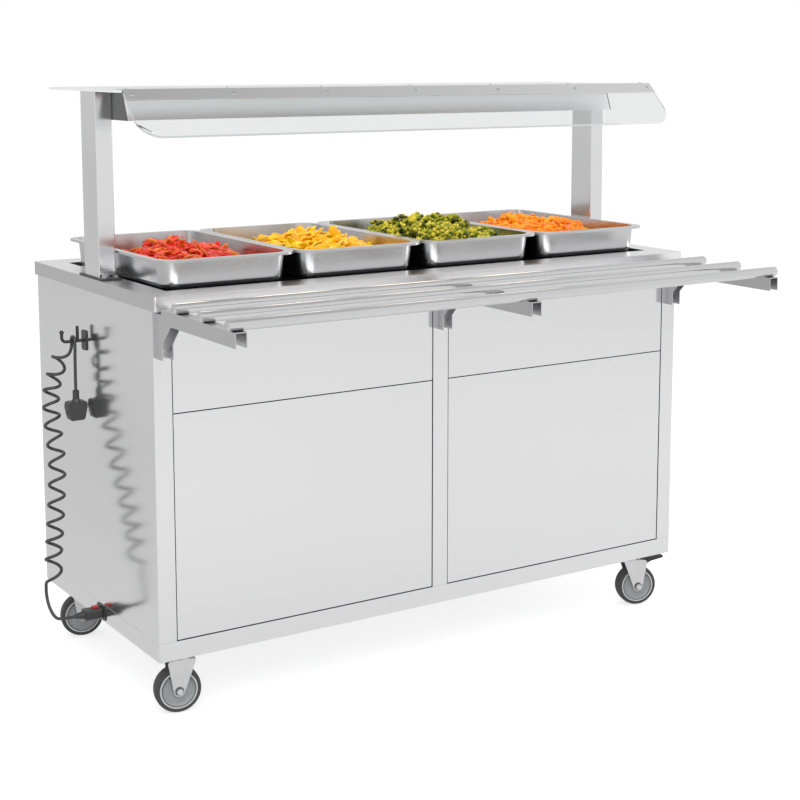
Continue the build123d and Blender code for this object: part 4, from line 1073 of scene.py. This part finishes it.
path = sky.nodes.new("ShaderNodeLightPath")
look = sky.nodes.new("ShaderNodeTexCoord").outputs["Generated"]
to_back_left = join(sky, "DOT_PRODUCT", look, toward_back_left, kind="ShaderNodeVectorMath")
level_light = join(sky, "MULTIPLY_ADD", to_back_left, level_fade, level_mean)
overhead = join(sky, "DOT_PRODUCT", look, (0, 0, 1), kind="ShaderNodeVectorMath")
falling = join(sky, "MULTIPLY_ADD", overhead, overhead_fade, overhead_from)
darker = join(sky, "SMOOTH_MIN", falling, 1.0, overhead_blend)
mirrored = backdrop(1.0)
sky.links.new(join(sky, "MULTIPLY", level_light, darker), mirrored.inputs["Strength"])
lit = choose(path.outputs["Is Glossy Ray"], backdrop(even_light), mirrored)
seen = join(sky, "MAXIMUM", path.outputs["Is Camera Ray"], path.outputs["Is Transmission Ray"])
surroundings = choose(seen, lit, backdrop(1.0))
sky.links.new(surroundings.outputs[0], sky.nodes.new("ShaderNodeOutputWorld").inputs["Surface"])
print("world:", len(sky.nodes), "nodes")

# %% [markdown]
# Plain studio light: a large soft lamp at the front left and a weaker one low at the right, where the tubes of the
# tray slide don't mirror it. A small warm lamp under each heat lamp lights the food, as the real ones do. The
# object is lit at a plain level, so that its colours come out as they are written.

# %% Lamps


def soft_lamp(name, place, aim, size, watts):
    """A large square lamp that looks at a point."""
    data = bpy.data.lights.new(name, "AREA")
    data.size = size
    data.energy = watts
    lamp = bpy.data.objects.new(name, data)
    lamp.location = place
    lamp.rotation_euler = (aim - place).to_track_quat("-Z", "Y").to_euler()
    bpy.context.collection.objects.link(lamp)
    return lamp


heart = at(0, 0, 700)
warm = (1, 0.82, 0.62)
lamp_height, food_height = 1.24, 0.9
soft_lamp("front_left_lamp", at(-1800, -2600, 3000), heart, 2.5, 55)
soft_lamp("right_lamp", at(3800, -500, 1900), heart, 2.0, 29)
for k in range(1, len(heaps) + 1):
    x = middle_of(f"pan_{k}").x
    glow = soft_lamp(f"food_lamp_{k}", Vector((x, lamp_y, lamp_height)), Vector((x, lamp_y, food_height)), 0.2, 0.55)
    glow.data.color = warm
print("lamps:", len(bpy.data.lights))

# %% [markdown]
# The floor is a plain pale sheet that runs far behind the counter. It could be bent up behind it, as a studio's
# paper is, but a flat sheet looks right from every side. It is dull, so that it mirrors nothing of the counter, and
# it is marked as a stage, because it isn't part of the object.

# %% Floor
floor_half, floor_grey = 20, 0.6
floor_mesh = bpy.data.meshes.new("floor")
floor_shape = bmesh.new()
bmesh.ops.create_grid(floor_shape, x_segments=4, y_segments=4, size=floor_half)
floor_shape.to_mesh(floor_mesh)
floor_shape.free()
floor = bpy.data.objects.new("floor", floor_mesh)
bpy.context.collection.objects.link(floor)
paper = bpy.data.materials.new("studio_paper")
paper.use_nodes = True
tree = paper.node_tree
shader = tree.nodes["Principled BSDF"]
shader.inputs["Base Color"].default_value = (floor_grey, floor_grey, floor_grey, 1)
shader.inputs["Roughness"].default_value = 0.9
shader.inputs["Specular IOR Level"].default_value = 0.1
floor_mesh.materials.append(paper)
floor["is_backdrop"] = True
print("floor:", 2 * floor_half, "m wide")

# %% [markdown]
# Part of the floor's white is its own, for the camera and for reflections alone, so that it meets the white
# background without a line and still keeps the soft shadow under the casters. A studio floor is never lit evenly,
# so the part that the steel mirrors fades slowly from the front to the back left, along a colour ramp of six stops.

# %% The floor's own white
camera_glow = 0.66
ramp_start, ramp_length = -4, 20
ramp_stops = ((-4, 0.56), (-1, 0.46), (1.2, 0.3), (2.4, 0.27), (4.4, 0.34), (9, 0.3))
shader.inputs["Emission Color"].default_value = (1, 1, 1, 1)
path = tree.nodes.new("ShaderNodeLightPath")
where = tree.nodes.new("ShaderNodeTexCoord").outputs["Object"]
back_left = join(tree, "DOT_PRODUCT", where, toward_back_left, kind="ShaderNodeVectorMath")
fade = tree.nodes.new("ShaderNodeValToRGB")
tree.links.new(join(tree, "MULTIPLY_ADD", back_left, 1 / ramp_length, -ramp_start / ramp_length), fade.inputs["Fac"])
while len(fade.color_ramp.elements) < len(ramp_stops):
    fade.color_ramp.elements.new(0.5)
for stop, (metres, glow) in zip(fade.color_ramp.elements, ramp_stops):
    stop.position = (metres - ramp_start) / ramp_length
    stop.color = (glow, glow, glow, 1)
mirrored = join(tree, "MULTIPLY", path.outputs["Is Glossy Ray"], fade.outputs["Color"])
own = join(tree, "MULTIPLY_ADD", path.outputs["Is Camera Ray"], camera_glow, mirrored)
tree.links.new(own, shader.inputs["Emission Strength"])
bpy.context.scene.view_settings.view_transform = "Standard"
print("stops of the floor's white:", len(fade.color_ramp.elements))

# %% [markdown]
# The box round everything, with all that was added, is printed here, as the box of the solids was at the start.
# Nothing that was added may stand outside the box of the solids.

# %% Measure and finish
dressed_box = [list(corner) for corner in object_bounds()]
print("dressed box:", [[round(v, 3) for v in corner] for corner in dressed_box])
